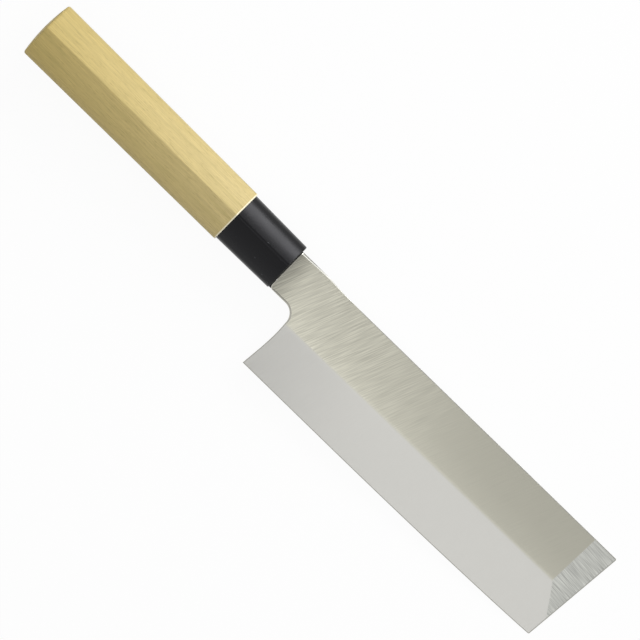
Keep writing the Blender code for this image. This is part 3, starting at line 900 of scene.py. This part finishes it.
def grip_mesh(b, h):
    """The wooden grip, with its tenon and the mortise for the tang."""
    front, butt = -h.ferrule_length, -h.ferrule_length - h.wood_length
    full = h.wood_half_height
    section = grip_section(h)
    tenon = ferrule_section(h, bore_inset(h) + h.clearance)
    mortise_end = -b.tang_length - MORTISE_ROOM
    tenon_end = -h.ferrule_front_wall - h.clearance
    rings = [
        ring(mortise_end, tang_room(b, h, mortise_end, section)),
        ring(tenon_end, tang_room(b, h, tenon_end, section)),
        ring(tenon_end, tenon),
        ring(front, tenon),
    ]
    shoulder = rounded_end(front, h.wood_front_half_height, h.wood_shoulder_ease, -1, full)
    rim = rounded_end(butt + h.wood_butt_bow, full, h.wood_butt_round, 1, full)
    end = [(butt + h.wood_butt_bow * share**2, rim[-1][1] * share) for share in BUTT_SHARES]
    body = np.linspace(shoulder[0][0], rim[0][0], GRIP_RINGS)[1:-1]
    scales = np.interp(-body, (-shoulder[0][0], -rim[0][0]), (shoulder[0][1], rim[0][1]))
    stations = shoulder[::-1] + list(zip(body, scales)) + rim + end
    rings += [ring(x, section, scale) for x, scale in stations]
    return loft("handle_wood_fine", rings)


def ferrule_mesh(b, h):
    """The ferrule, hollow from the rear, with the slot in its front wall."""
    section = ferrule_section(h)
    bore = ferrule_section(h, bore_inset(h))
    rear = -h.ferrule_length + JOINT_GAP
    slot = slot_section(b, h, 0.0, section)
    front, full = h.ferrule_front_half_height, h.ferrule_half_height
    mouth = rounded_end(0.0, front, h.ferrule_ease, -1, full)
    rings = [ring(-h.ferrule_front_wall, slot), ring(0.0, slot)]
    rings += [ring(x, section, scale) for x, scale in mouth[::-1]]
    rings += [ring(rear, section), ring(rear, bore), ring(-h.ferrule_front_wall, bore)]
    return loft("ferrule_fine", rings, closed=True)


def slot_section(b, h, room, like):
    """The section of the ferrule's slot, less some room."""
    around = h.seal_wall + 2 * h.clearance
    half_height, half_width = (r / 2 + around - room for r in b.tang_root)
    return bar_section(half_height, half_width, h.slot_round - room, like)


def seal_mesh(b, h):
    """The compound in the slot, with the thin film behind the neck and the bead at its lower corner."""
    like = grip_section(h)
    plug = slot_section(b, h, h.clearance, like)
    low, corner = neck_top(b) - b.neck_depth, b.neck_lower_round
    film = bar_section(b.neck_depth / 2 - FILM_EASE, b.thickness / 2 - FILM_EASE, FILM_EASE, like)
    film[:, 0] += (neck_top(b) + low) / 2
    front = ring(b.neck_back - h.bead_gap, film)
    into_corner = np.clip(low + corner - film[:, 0], 0.0, BEAD_REACH * corner)
    front[:, 0] += corner - np.sqrt(corner**2 - into_corner**2)
    hole = [tang_room(b, h, x, like) for x in (-h.ferrule_front_wall, 0.0)]
    rings = [
        ring(-h.ferrule_front_wall, hole[0]),
        ring(-h.ferrule_front_wall, plug),
        ring(0.0, plug),
        ring(0.0, film),
        front,
        ring(b.neck_back - h.bead_gap, hole[1]),
    ]
    return loft("tang_seal_fine", rings, closed=True)


# Materials


def add(tree, kind, inputs=None, output=0, **settings):
    """Adds a node with its settings and its inputs' values or links, and gives one of its outputs."""
    node = tree.nodes.new(kind)
    for name, value in settings.items():
        setattr(node, name, value)
    for name, value in (inputs or {}).items():
        if isinstance(value, bpy.types.NodeSocket):
            tree.links.new(value, node.inputs[name])
        else:
            node.inputs[name].default_value = value
    return node.outputs[output] if node.outputs else None


# Numbers of the Mix node's colour sockets
MIX_FACTOR, MIX_FIRST, MIX_SECOND, MIX_RESULT = 0, 6, 7, 2


def new_material(name):
    """An empty node material and its tree."""
    made = bpy.data.materials.new(name)
    made.use_nodes = True
    made.node_tree.nodes.clear()
    return made, made.node_tree


def own_place(tree, axes):
    """Texture coordinates in the knife's or the handle's own axes, in metres."""
    return add(
        tree,
        "ShaderNodeMapping",
        {
            "Vector": add(tree, "ShaderNodeTexCoord", output="Object"),
            "Location": axes.translation,
            "Rotation": axes.to_euler(),
        },
        vector_type="TEXTURE",
    )


def grain(tree, place, length, width, detail):
    """Noise drawn out along x: each mark about as long and as wide as it says, in metres."""
    drawn_out = add(
        tree,
        "ShaderNodeVectorMath",
        {0: place, 1: (1 / length, 1 / width, 1 / width)},
        operation="MULTIPLY",
    )
    return add(
        tree,
        "ShaderNodeTexNoise",
        {"Vector": drawn_out, "Scale": 1.0, "Detail": detail, "Roughness": 0.6},
        output="Fac",
    )


# The soft line between flat and bevel: how much the flat beside it is brightened as a painted
# highlight, how far up that fades, and how far below and above the line the two tints blend
LINE_HIGHLIGHT = 1.06
LINE_FADE = 10 * MM
BLEND_BELOW = 0.9 * MM
BLEND_ABOVE = 0.5 * MM

# Ground steel: how far its marks are drawn out through the thickness, so that they run on down a slope,
# the shares of the blade between which fading lines fade, and how much lines vary the roughness
MARK_DEPTH = 20.0
FADE_FROM = 0.2
FADE_TO = 0.55
LINE_ROUGHNESS = 0.15
QUARTER_TURN = 0.25


def steel_tint(tree, b, spot, finish):
    """The flat's tint and the bevel's, which blend into each other across the soft line between them.

    A painted highlight leaves the flat a little brighter beside that line.
    """
    slope = (shoulder_y(b, b.length) - shoulder_y(b, 0.0)) / b.length
    height = add(
        tree, "ShaderNodeMath", {0: spot["X"], 1: -slope, 2: spot["Y"]}, operation="MULTIPLY_ADD"
    )
    line = shoulder_y(b, 0.0)
    # The flat is painted brighter beside the line as a highlight
    painted_highlight = add(
        tree,
        "ShaderNodeMapRange",
        {
            "Value": height,
            "From Min": line,
            "From Max": line + LINE_FADE,
            "To Min": LINE_HIGHLIGHT,
            "To Max": 1.0,
        },
    )
    satin = add(
        tree, "ShaderNodeVectorMath", {0: finish.satin_steel, 1: painted_highlight}, operation="MULTIPLY"
    )
    share = add(
        tree,
        "ShaderNodeMapRange",
        {"Value": height, "From Min": line - BLEND_BELOW, "From Max": line + BLEND_ABOVE},
        interpolation_type="SMOOTHSTEP",
    )
    return add(
        tree,
        "ShaderNodeMix",
        {MIX_FACTOR: share, MIX_FIRST: (*finish.ground_steel, 1.0), MIX_SECOND: satin},
        MIX_RESULT,
        data_type="RGBA",
    )


def ground_steel(b, axes, finish, tint, grind):
    """Stainless steel ground in one direction by a belt or wheel.

    The grinding lines blur reflections across them, which draws a highlight out sideways, and leave
    faint light and dark streaks. Real lines are 0.02 to 0.1 mm apart, too fine to show in the picture,
    so they are drawn as coarse as the grind's spacing says. Lines that fade do so toward the tip. Shade
    is painted into the tint beside the ferrule and toward the heel, which darkens the steel there.
    """
    made, tree = new_material(grind.name)
    place = own_place(tree, axes)
    spot = add(tree, "ShaderNodeSeparateXYZ", {"Vector": place}).node.outputs
    turned = add(
        tree,
        "ShaderNodeMapping",
        {"Vector": place, "Rotation": (0.0, 0.0, grind.angle), "Scale": (1.0, 1.0, MARK_DEPTH)},
        vector_type="TEXTURE",
    )
    lines = grain(tree, turned, grind.length, grind.spacing, 0.0)
    kept = add(
        tree,
        "ShaderNodeMapRange",
        {
            "Value": spot["X"],
            "From Min": FADE_FROM * b.length,
            "From Max": FADE_TO * b.length,
            "To Min": 1.0,
            "To Max": grind.kept_at_tip,
        },
    )
    centred = add(tree, "ShaderNodeMath", {0: lines, 1: 0.5}, operation="SUBTRACT")
    height = add(tree, "ShaderNodeMath", {0: centred, 1: kept}, operation="MULTIPLY")
    # Painted shade: the tint is darkened beside the ferrule and the neck, or toward the heel
    darkest_share, shade_from, shade_to = grind.dull
    dull = add(
        tree,
        "ShaderNodeMapRange",
        {"Value": spot["X"], "From Min": shade_from, "From Max": shade_to, "To Min": darkest_share},
        interpolation_type="SMOOTHSTEP",
    )
    tone = add(
        tree, "ShaderNodeMath", {0: height, 1: grind.streaks, 2: dull}, operation="MULTIPLY_ADD"
    )
    shared = grind in (GRINDS[FLAT], GRINDS[BEVEL])
    base = steel_tint(tree, b, spot, finish) if shared else tint
    tinted = add(tree, "ShaderNodeVectorMath", {0: base, 1: tone}, operation="MULTIPLY")
    least, whole = grind.roughness
    level = add(tree, "ShaderNodeMapRange", {"Value": kept, "To Min": least, "To Max": whole})
    rough = add(
        tree, "ShaderNodeMath", {0: height, 1: LINE_ROUGHNESS, 2: level}, operation="MULTIPLY_ADD"
    )
    bump = add(tree, "ShaderNodeBump", {"Strength": 1.0, "Distance": grind.depth, "Height": height})
    turns = grind.side * grind.angle / (2 * math.pi) + QUARTER_TURN
    shader = add(
        tree,
        "ShaderNodeBsdfPrincipled",
        {
            "Metallic": 1.0,
            "Base Color": tinted,
            "Roughness": rough,
            "Normal": bump,
            "Anisotropic": grind.anisotropy,
            "Anisotropic Rotation": turns % 1.0,
            "Tangent": add(tree, "ShaderNodeTangent", direction_type="UV_MAP", uv_map="plan"),
        },
    )
    add(tree, "ShaderNodeOutputMaterial", {"Surface": shader})
    return made


# A grind's roughness is given where its lines have gone and where they are whole. Painted shade is the
# least share of its tint, and where along the blade that starts to rise and where the tint is whole
Grind = namedtuple(
    "Grind", "name side roughness anisotropy angle spacing length depth streaks kept_at_tip dull"
)
NO_PAINTED_SHADE = (1.0, 0.0, 1.0)
GRINDS = {
    # Flat: belt-satined across the blade, so it looks brushed near the neck and silky at the tip
    # Its tint is painted darker beside the ferrule as shade
    FLAT: Grind(
        "belt_satined_stainless", 1, (0.30, 0.38), 0.5, math.radians(68),
        0.36 * MM, 9 * MM, 0.006 * MM, 0.68, 0.10, (0.62, 0.0, 11 * MM),
    ),
    # Long bevel: finely wheel-ground, almost even to the eye, and painted darker toward the heel as
    # shade
    BEVEL: Grind(
        "fine_ground_stainless", 1, (0.34, 0.35), 0.0, math.radians(80),
        0.4 * MM, 9 * MM, 0.0001 * MM, 0.04, 1.0, (0.92, 15 * MM, 65 * MM),
    ),
    # Tip facet: coarser lines, nearly along the blade
    TIP: Grind(
        "coarse_ground_stainless", 1, (0.34, 0.36), 0.4, math.radians(-4),
        0.26 * MM, 8 * MM, 0.008 * MM, 0.80, 1.0, NO_PAINTED_SHADE,
    ),
    # Eased margin: rubbed rougher all round, and painted darker as a thin line of shade, darkest by the
    # neck
    MARGIN: Grind(
        "rubbed_stainless", 1, (0.40, 0.42), 0.0, 0.0,
        0.4 * MM, 5 * MM, 0.004 * MM, 0.2, 1.0, (0.45, 4 * MM, 16 * MM),
    ),
    # Hollow back: wheel-ground across the blade
    HOLLOW: Grind(
        "hollow_ground_stainless", -1, (0.28, 0.30), 0.5, math.radians(85),
        0.4 * MM, 9 * MM, 0.008 * MM, 0.3, 1.0, NO_PAINTED_SHADE,
    ),
    # Neck's chamfers: burnished bright
    CHAMFER: Grind(
        "burnished_stainless", 1, (0.22, 0.24), 0.0, 0.0,
        0.3 * MM, 6 * MM, 0.001 * MM, 0.04, 1.0, NO_PAINTED_SHADE,
    ),
    # Spine, heel and tip end: ground lengthwise
    WALL: Grind(
        "edge_ground_stainless", 1, (0.36, 0.38), 0.0, 0.0,
        0.3 * MM, 6 * MM, 0.006 * MM, 0.2, 1.0, NO_PAINTED_SHADE,
    ),
}


# Growth rings: where the tree's pith lay in the handle's axes, a ring's width and how far it wanders
PITH = (0.0, -0.045, 0.030)
RING_WIDTH = 3.1 * MM
WANDER = (0.0, 0.005, 0.005)


def growth_rings(tree, place):
    """How far each spot is late wood, and the wandering coordinates that the rings are drawn in."""
    wander = add(
        tree,
        "ShaderNodeTexNoise",
        {
            "Vector": add(
                tree, "ShaderNodeVectorMath", {0: place, 1: (0.22, 1.0, 1.0)}, operation="MULTIPLY"
            ),
            "Scale": 55.0,
            "Detail": 2.0,
        },
        output="Color",
    )
    wandering = add(
        tree, "ShaderNodeVectorMath", {0: wander, 1: WANDER, 2: place}, operation="MULTIPLY_ADD"
    )
    from_pith = add(tree, "ShaderNodeVectorMath", {0: wandering, 1: PITH}, operation="SUBTRACT")
    across = add(
        tree, "ShaderNodeVectorMath", {0: from_pith, 1: (0.03, 1.0, 1.0)}, operation="MULTIPLY"
    )
    radius = add(tree, "ShaderNodeVectorMath", {0: across}, output="Value", operation="LENGTH")
    turns = add(tree, "ShaderNodeMath", {0: radius, 1: RING_WIDTH}, operation="DIVIDE")
    ring_part = add(tree, "ShaderNodeMath", {0: turns}, operation="FRACT")
    late = add(
        tree,
        "ShaderNodeMapRange",
        {"Value": ring_part, "From Min": 0.45, "From Max": 0.97},
        interpolation_type="SMOOTHSTEP",
    )
    return late, wandering


def sanded_magnolia(h, axes, finish):
    """Magnolia, sanded and left bare: pale, matt and close-grained, with faint olive rings.

    Growth rings are 2 to 5 mm wide and run along the grip. Fibres and vessels are about 0.1 mm wide and
    a few millimetres long. They are drawn about three times as wide, so that their fine lengthwise
    streaks show. Light and sheen are painted in as a paler tint toward the ferrule, and a painted
    highlight makes the rim there palest.
    """
    made, tree = new_material("sanded_bare_magnolia")
    place = own_place(tree, axes)
    late, wandering = growth_rings(tree, place)
    fibres = grain(tree, place, 12 * MM, 0.36 * MM, 3.0)
    vessels = grain(tree, place, 3.0 * MM, 0.28 * MM, 1.0)
    patches = grain(tree, wandering, 40 * MM, 5 * MM, 2.0)

    along = add(tree, "ShaderNodeSeparateXYZ", {"Vector": place}, output="X")
    front = -h.ferrule_length
    # Toward the front the tint is painted paler, standing in for light and sheen
    painted_light_share, worn, vessel_share, tone, rim_highlight_share = (
        add(
            tree,
            "ShaderNodeMapRange",
            {"Value": value, "From Min": low, "From Max": high, "To Min": least, "To Max": most},
        )
        for value, low, high, least, most in (
            (along, front - h.wood_length, front, 0.0, 1.0),
            (patches, 0.42, 0.75, 0.0, 0.5),
            (vessels, 0.58, 0.80, 0.0, 0.5),
            (fibres, 0.25, 0.75, 0.86, 1.14),
            (along, front - 0.6 * MM, front - 0.4 * MM, 0.0, 1.0),
        )
    )
    ring_share = add(tree, "ShaderNodeMath", {0: late, 1: worn}, operation="MULTIPLY")
    flecked = (*finish.magnolia, 1.0)
    for share, tint in (
        (painted_light_share, finish.magnolia_front_painted_light),
        (ring_share, finish.magnolia_ring),
        (vessel_share, finish.magnolia_vessel),
    ):
        flecked = add(
            tree,
            "ShaderNodeMix",
            {MIX_FACTOR: share, MIX_FIRST: flecked, MIX_SECOND: (*tint, 1.0)},
            MIX_RESULT,
            data_type="RGBA",
        )
    toned = add(tree, "ShaderNodeVectorMath", {0: flecked, 1: tone}, operation="MULTIPLY")
    # The last fraction of a millimetre beside the ferrule is painted pale as a highlight
    with_rim_highlight = add(
        tree,
        "ShaderNodeMix",
        {MIX_FACTOR: rim_highlight_share, MIX_FIRST: toned, MIX_SECOND: (*finish.magnolia_rim_highlight, 1.0)},
        MIX_RESULT,
        data_type="RGBA",
    )
    bump = add(tree, "ShaderNodeBump", {"Strength": 1.0, "Distance": 0.02 * MM, "Height": fibres})
    shader = add(
        tree,
        "ShaderNodeBsdfPrincipled",
        {"Base Color": with_rim_highlight, "Roughness": 0.58, "IOR": 1.45, "Normal": bump},
    )
    add(tree, "ShaderNodeOutputMaterial", {"Surface": shader})
    return made


def moulded_plastic(axes, finish):
    """Black plastic as it came from its mould: half glossy, with a slight orange peel.

    Handling has left smudges that are a little duller, and a few small pale nicks. The peel shades
    itself where it is seen at a slant, so the plastic's sides stay black.
    """
    made, tree = new_material("moulded_black_plastic")
    place = own_place(tree, axes)
    peel = grain(tree, place, 1.2 * MM, 1.2 * MM, 2.0)
    smudges = grain(tree, place, 9 * MM, 5 * MM, 2.0)
    specks = grain(tree, place, 1.6 * MM, 0.9 * MM, 1.0)
    slant = add(tree, "ShaderNodeLayerWeight", {"Blend": 0.5}, output="Facing")
    nicked, rough, sheen = (
        add(
            tree,
            "ShaderNodeMapRange",
            {"Value": value, "From Min": low, "From Max": high, "To Min": least, "To Max": most},
        )
        for value, low, high, least, most in (
            (specks, 0.76, 0.80, 0.0, 0.3),
            (smudges, 0.3, 0.7, 0.25, 0.33),
            (slant, 0.26, 0.42, 1.0, 0.15),
        )
    )
    tinted = add(
        tree,
        "ShaderNodeMix",
        {
            MIX_FACTOR: nicked,
            MIX_FIRST: (*finish.plastic, 1.0),
            MIX_SECOND: (*finish.plastic_nick, 1.0),
        },
        MIX_RESULT,
        data_type="RGBA",
    )
    bump = add(tree, "ShaderNodeBump", {"Strength": 1.0, "Distance": 0.01 * MM, "Height": peel})
    shader = add(
        tree,
        "ShaderNodeBsdfPrincipled",
        {
            "Base Color": tinted,
            "Roughness": rough,
            "IOR": 1.46,
            "Specular IOR Level": 0.7,
            "Specular Tint": add(
                tree, "ShaderNodeVectorMath", {0: (0.36, 0.36, 0.38), 1: sheen}, operation="MULTIPLY"
            ),
            "Normal": bump,
        },
    )
    add(tree, "ShaderNodeOutputMaterial", {"Surface": shader})
    return made


def sealing_compound(axes, finish):
    """Black sealing compound, cured matt, with a slightly lumpy skin that scatters highlights."""
    made, tree = new_material("cured_sealing_compound")
    place = own_place(tree, axes)
    lumps = grain(tree, place, 1.4 * MM, 1.4 * MM, 3.0)
    tone = add(
        tree,
        "ShaderNodeMapRange",
        {"Value": lumps, "From Min": 0.3, "From Max": 0.7, "To Min": 0.8, "To Max": 1.2},
    )
    bump = add(tree, "ShaderNodeBump", {"Strength": 1.0, "Distance": 0.05 * MM, "Height": lumps})
    shader = add(
        tree,
        "ShaderNodeBsdfPrincipled",
        {
            "Base Color": add(
                tree, "ShaderNodeVectorMath", {0: finish.compound, 1: tone}, operation="MULTIPLY"
            ),
            "Roughness": 0.62,
            "IOR": 1.45,
            "Normal": bump,
        },
    )
    add(tree, "ShaderNodeOutputMaterial", {"Surface": shader})
    return made


def seen_directly(tree):
    """1 for rays from the camera, from a reflection or through glass, and 0 for light that scatters."""
    rays = tree.nodes.new("ShaderNodeLightPath").outputs
    found = rays["Is Camera Ray"]
    for name in ("Is Glossy Ray", "Is Transmission Ray"):
        found = add(tree, "ShaderNodeMath", {0: found, 1: rays[name]}, operation="MAXIMUM")
    return found


def matt_paper(glow_share):
    """Matt white paper. Most of what is seen of it is plain white, and the rest keeps the shadow."""
    made, tree = new_material("matt_white_paper")
    share = add(tree, "ShaderNodeMath", {0: seen_directly(tree), 1: glow_share}, operation="MULTIPLY")
    paper = add(tree, "ShaderNodeBsdfDiffuse", {"Color": (0.80, 0.80, 0.80, 1.0)})
    white = add(tree, "ShaderNodeEmission", {"Color": (1.0, 1.0, 1.0, 1.0), "Strength": 1.0})
    mixed = add(tree, "ShaderNodeMixShader", {0: share, 1: paper, 2: white})
    add(tree, "ShaderNodeOutputMaterial", {"Surface": mixed})
    return made


# Studio


def white_room(fill, ceiling):
    """A world with white walls and a dimmer ceiling, whose soft light comes mostly from above."""
    world = bpy.data.worlds.new("white_room")
    bpy.context.scene.world = world
    world.use_nodes = True
    tree = world.node_tree
    tree.nodes.clear()
    direction = add(tree, "ShaderNodeTexCoord", output="Generated")
    upward = add(tree, "ShaderNodeSeparateXYZ", {"Vector": direction}, output="Z")
    walls = add(
        tree,
        "ShaderNodeMapRange",
        {"Value": upward, "From Min": 0.45, "From Max": 0.95, "To Min": 1.0, "To Max": ceiling},
        interpolation_type="SMOOTHSTEP",
    )
    soft = add(
        tree,
        "ShaderNodeMapRange",
        {"Value": upward, "From Min": 0.35, "To Min": 0.02 * fill, "To Max": fill},
    )
    strength = add(
        tree,
        "ShaderNodeMix",
        {"Factor": seen_directly(tree), "A": soft, "B": walls},
        data_type="FLOAT",
    )
    light = add(tree, "ShaderNodeBackground", {"Color": (1.0, 1.0, 1.0, 1.0), "Strength": strength})
    add(tree, "ShaderNodeOutputWorld", {"Surface": light})


def softbox(name, place, aim, width, height, power):
    """A soft rectangular lamp that the camera doesn't see."""
    lamp = bpy.data.lights.new(name, "AREA")
    lamp.shape = "RECTANGLE"
    lamp.size, lamp.size_y = width, height
    lamp.energy = power
    thing = bpy.data.objects.new(name, lamp)
    thing.location = place
    thing.rotation_euler = (Vector(aim) - Vector(place)).to_track_quat("-Z", "Y").to_euler()
    thing.visible_camera = False
    bpy.context.scene.collection.objects.link(thing)


def paper_floor(glow_share):
    """The sheet of paper under the knife."""
    mesh = bpy.data.meshes.new("paper_floor")
    corners = [(FLOOR_HALF * x, FLOOR_HALF * y, 0.0) for x, y in SQUARE]
    mesh.from_pydata(corners, [], [(0, 1, 2, 3)])
    mesh.materials.append(matt_paper(glow_share))
    floor = bpy.data.objects.new("paper_floor", mesh)
    bpy.context.scene.collection.objects.link(floor)


def camera_over(axes, studio):
    """The camera, square on to the blade."""
    lens = bpy.data.cameras.new("camera")
    lens.sensor_width = SENSOR_WIDTH
    lens.lens = studio.focal_length
    camera = bpy.data.objects.new("camera", lens)
    place = Matrix.Translation((studio.view_x, studio.view_y, studio.camera_height))
    camera.matrix_world = axes @ place @ Matrix.Rotation(studio.camera_turn, 4, "Z")
    bpy.context.scene.collection.objects.link(camera)
    bpy.context.scene.camera = camera


# Operators


class KNIFE_OT_blade(Operator):
    """Builds the ground blade with its neck and tang"""

    bl_idname = "knife.make_blade"
    bl_label = "Make Blade"

    def execute(self, context):
        knife = context.scene.squared_tip_knife
        b, finish = knife.blade, knife.finish
        colors = {
            FLAT: finish.satin_steel,
            BEVEL: finish.ground_steel,
            TIP: finish.coarse_steel,
            MARGIN: finish.rubbed_steel_and_shade,
            HOLLOW: finish.hollow_steel,
            CHAMFER: finish.bright_steel,
            WALL: finish.wall_steel,
        }
        axes = knife_axes(knife.handle)[0]
        steels = [ground_steel(b, axes, finish, colors[slot], GRINDS[slot]) for slot in sorted(GRINDS)]
        body = mesh_from("blade_body", *blade_body(b))
        mesh = joined("blade_fine", body, tang_bar(b))
        plan_map(mesh, "plan")
        new_piece("blade_fine", mesh, axes, "blade", steels, BLADE_CORNERS)
        return {"FINISHED"}


class KNIFE_OT_grip(Operator):
    """Builds the magnolia grip"""

    bl_idname = "knife.make_grip"
    bl_label = "Make Grip"

    def execute(self, context):
        knife = context.scene.squared_tip_knife
        axes = knife_axes(knife.handle)[1]
        mesh = grip_mesh(knife.blade, knife.handle)
        wood = [sanded_magnolia(knife.handle, axes, knife.finish)]
        new_piece("handle_wood_fine", mesh, axes, "handle_wood", wood, HANDLE_CORNERS)
        return {"FINISHED"}


class KNIFE_OT_ferrule(Operator):
    """Builds the black ferrule"""

    bl_idname = "knife.make_ferrule"
    bl_label = "Make Ferrule"

    def execute(self, context):
        knife = context.scene.squared_tip_knife
        axes = knife_axes(knife.handle)[1]
        mesh = ferrule_mesh(knife.blade, knife.handle)
        plastic = [moulded_plastic(axes, knife.finish)]
        new_piece("ferrule_fine", mesh, axes, "ferrule", plastic, HANDLE_CORNERS)
        return {"FINISHED"}


class KNIFE_OT_seal(Operator):
    """Builds the sealing compound round the tang"""

    bl_idname = "knife.make_seal"
    bl_label = "Make Seal"

    def execute(self, context):
        knife = context.scene.squared_tip_knife
        axes = knife_axes(knife.handle)[1]
        mesh = seal_mesh(knife.blade, knife.handle)
        seal = [sealing_compound(axes, knife.finish)]
        new_piece("tang_seal_fine", mesh, axes, "tang_seal", seal, HANDLE_CORNERS)
        return {"FINISHED"}


class KNIFE_OT_studio(Operator):
    """Sets up the floor, the lamps and the camera over the knife"""

    bl_idname = "knife.make_studio"
    bl_label = "Make Studio"

    def execute(self, context):
        knife = context.scene.squared_tip_knife
        studio = knife.studio
        paper_floor(studio.glow_share)
        white_room(studio.fill, studio.ceiling)
        softbox("key", *LAMPS["key"], studio.key)
        softbox("neck_light", *LAMPS["neck_light"], studio.neck_light)
        softbox("bevel_light", *LAMPS["bevel_light"], studio.bevel_light)
        camera_over(knife_axes(knife.handle)[0], studio)
        context.scene.view_settings.view_transform = "Standard"
        return {"FINISHED"}


class KNIFE_PT_sidebar(Panel):
    """Lists the knife's operators and sizes in the 3D view's sidebar"""

    bl_label = "Squared-Tip Knife"
    bl_space_type = "VIEW_3D"
    bl_region_type = "UI"
    bl_category = "Knife"

    def draw(self, context):
        for operator in OPERATORS:
            self.layout.operator(operator.bl_idname)
        knife = context.scene.squared_tip_knife
        for group in (knife.blade, knife.handle, knife.finish, knife.studio):
            box = self.layout.box()
            for name in group.__annotations__:
                box.prop(group, name)


GROUPS = (BladeSizes, HandleSizes, FinishColors, StudioSettings, KnifeSettings)
OPERATORS = (KNIFE_OT_blade, KNIFE_OT_grip, KNIFE_OT_ferrule, KNIFE_OT_seal, KNIFE_OT_studio)
CLASSES = (*GROUPS, *OPERATORS, KNIFE_PT_sidebar)


def register():
    for item in CLASSES:
        bpy.utils.register_class(item)
    bpy.types.Scene.squared_tip_knife = PointerProperty(type=KnifeSettings)


def unregister():
    del bpy.types.Scene.squared_tip_knife
    for item in reversed(CLASSES):
        bpy.utils.unregister_class(item)


def main():
    register()
    bpy.ops.knife.make_blade()
    bpy.ops.knife.make_grip()
    bpy.ops.knife.make_ferrule()
    bpy.ops.knife.make_seal()
    bpy.ops.knife.make_studio()


if __name__ == "__main__":
    main()
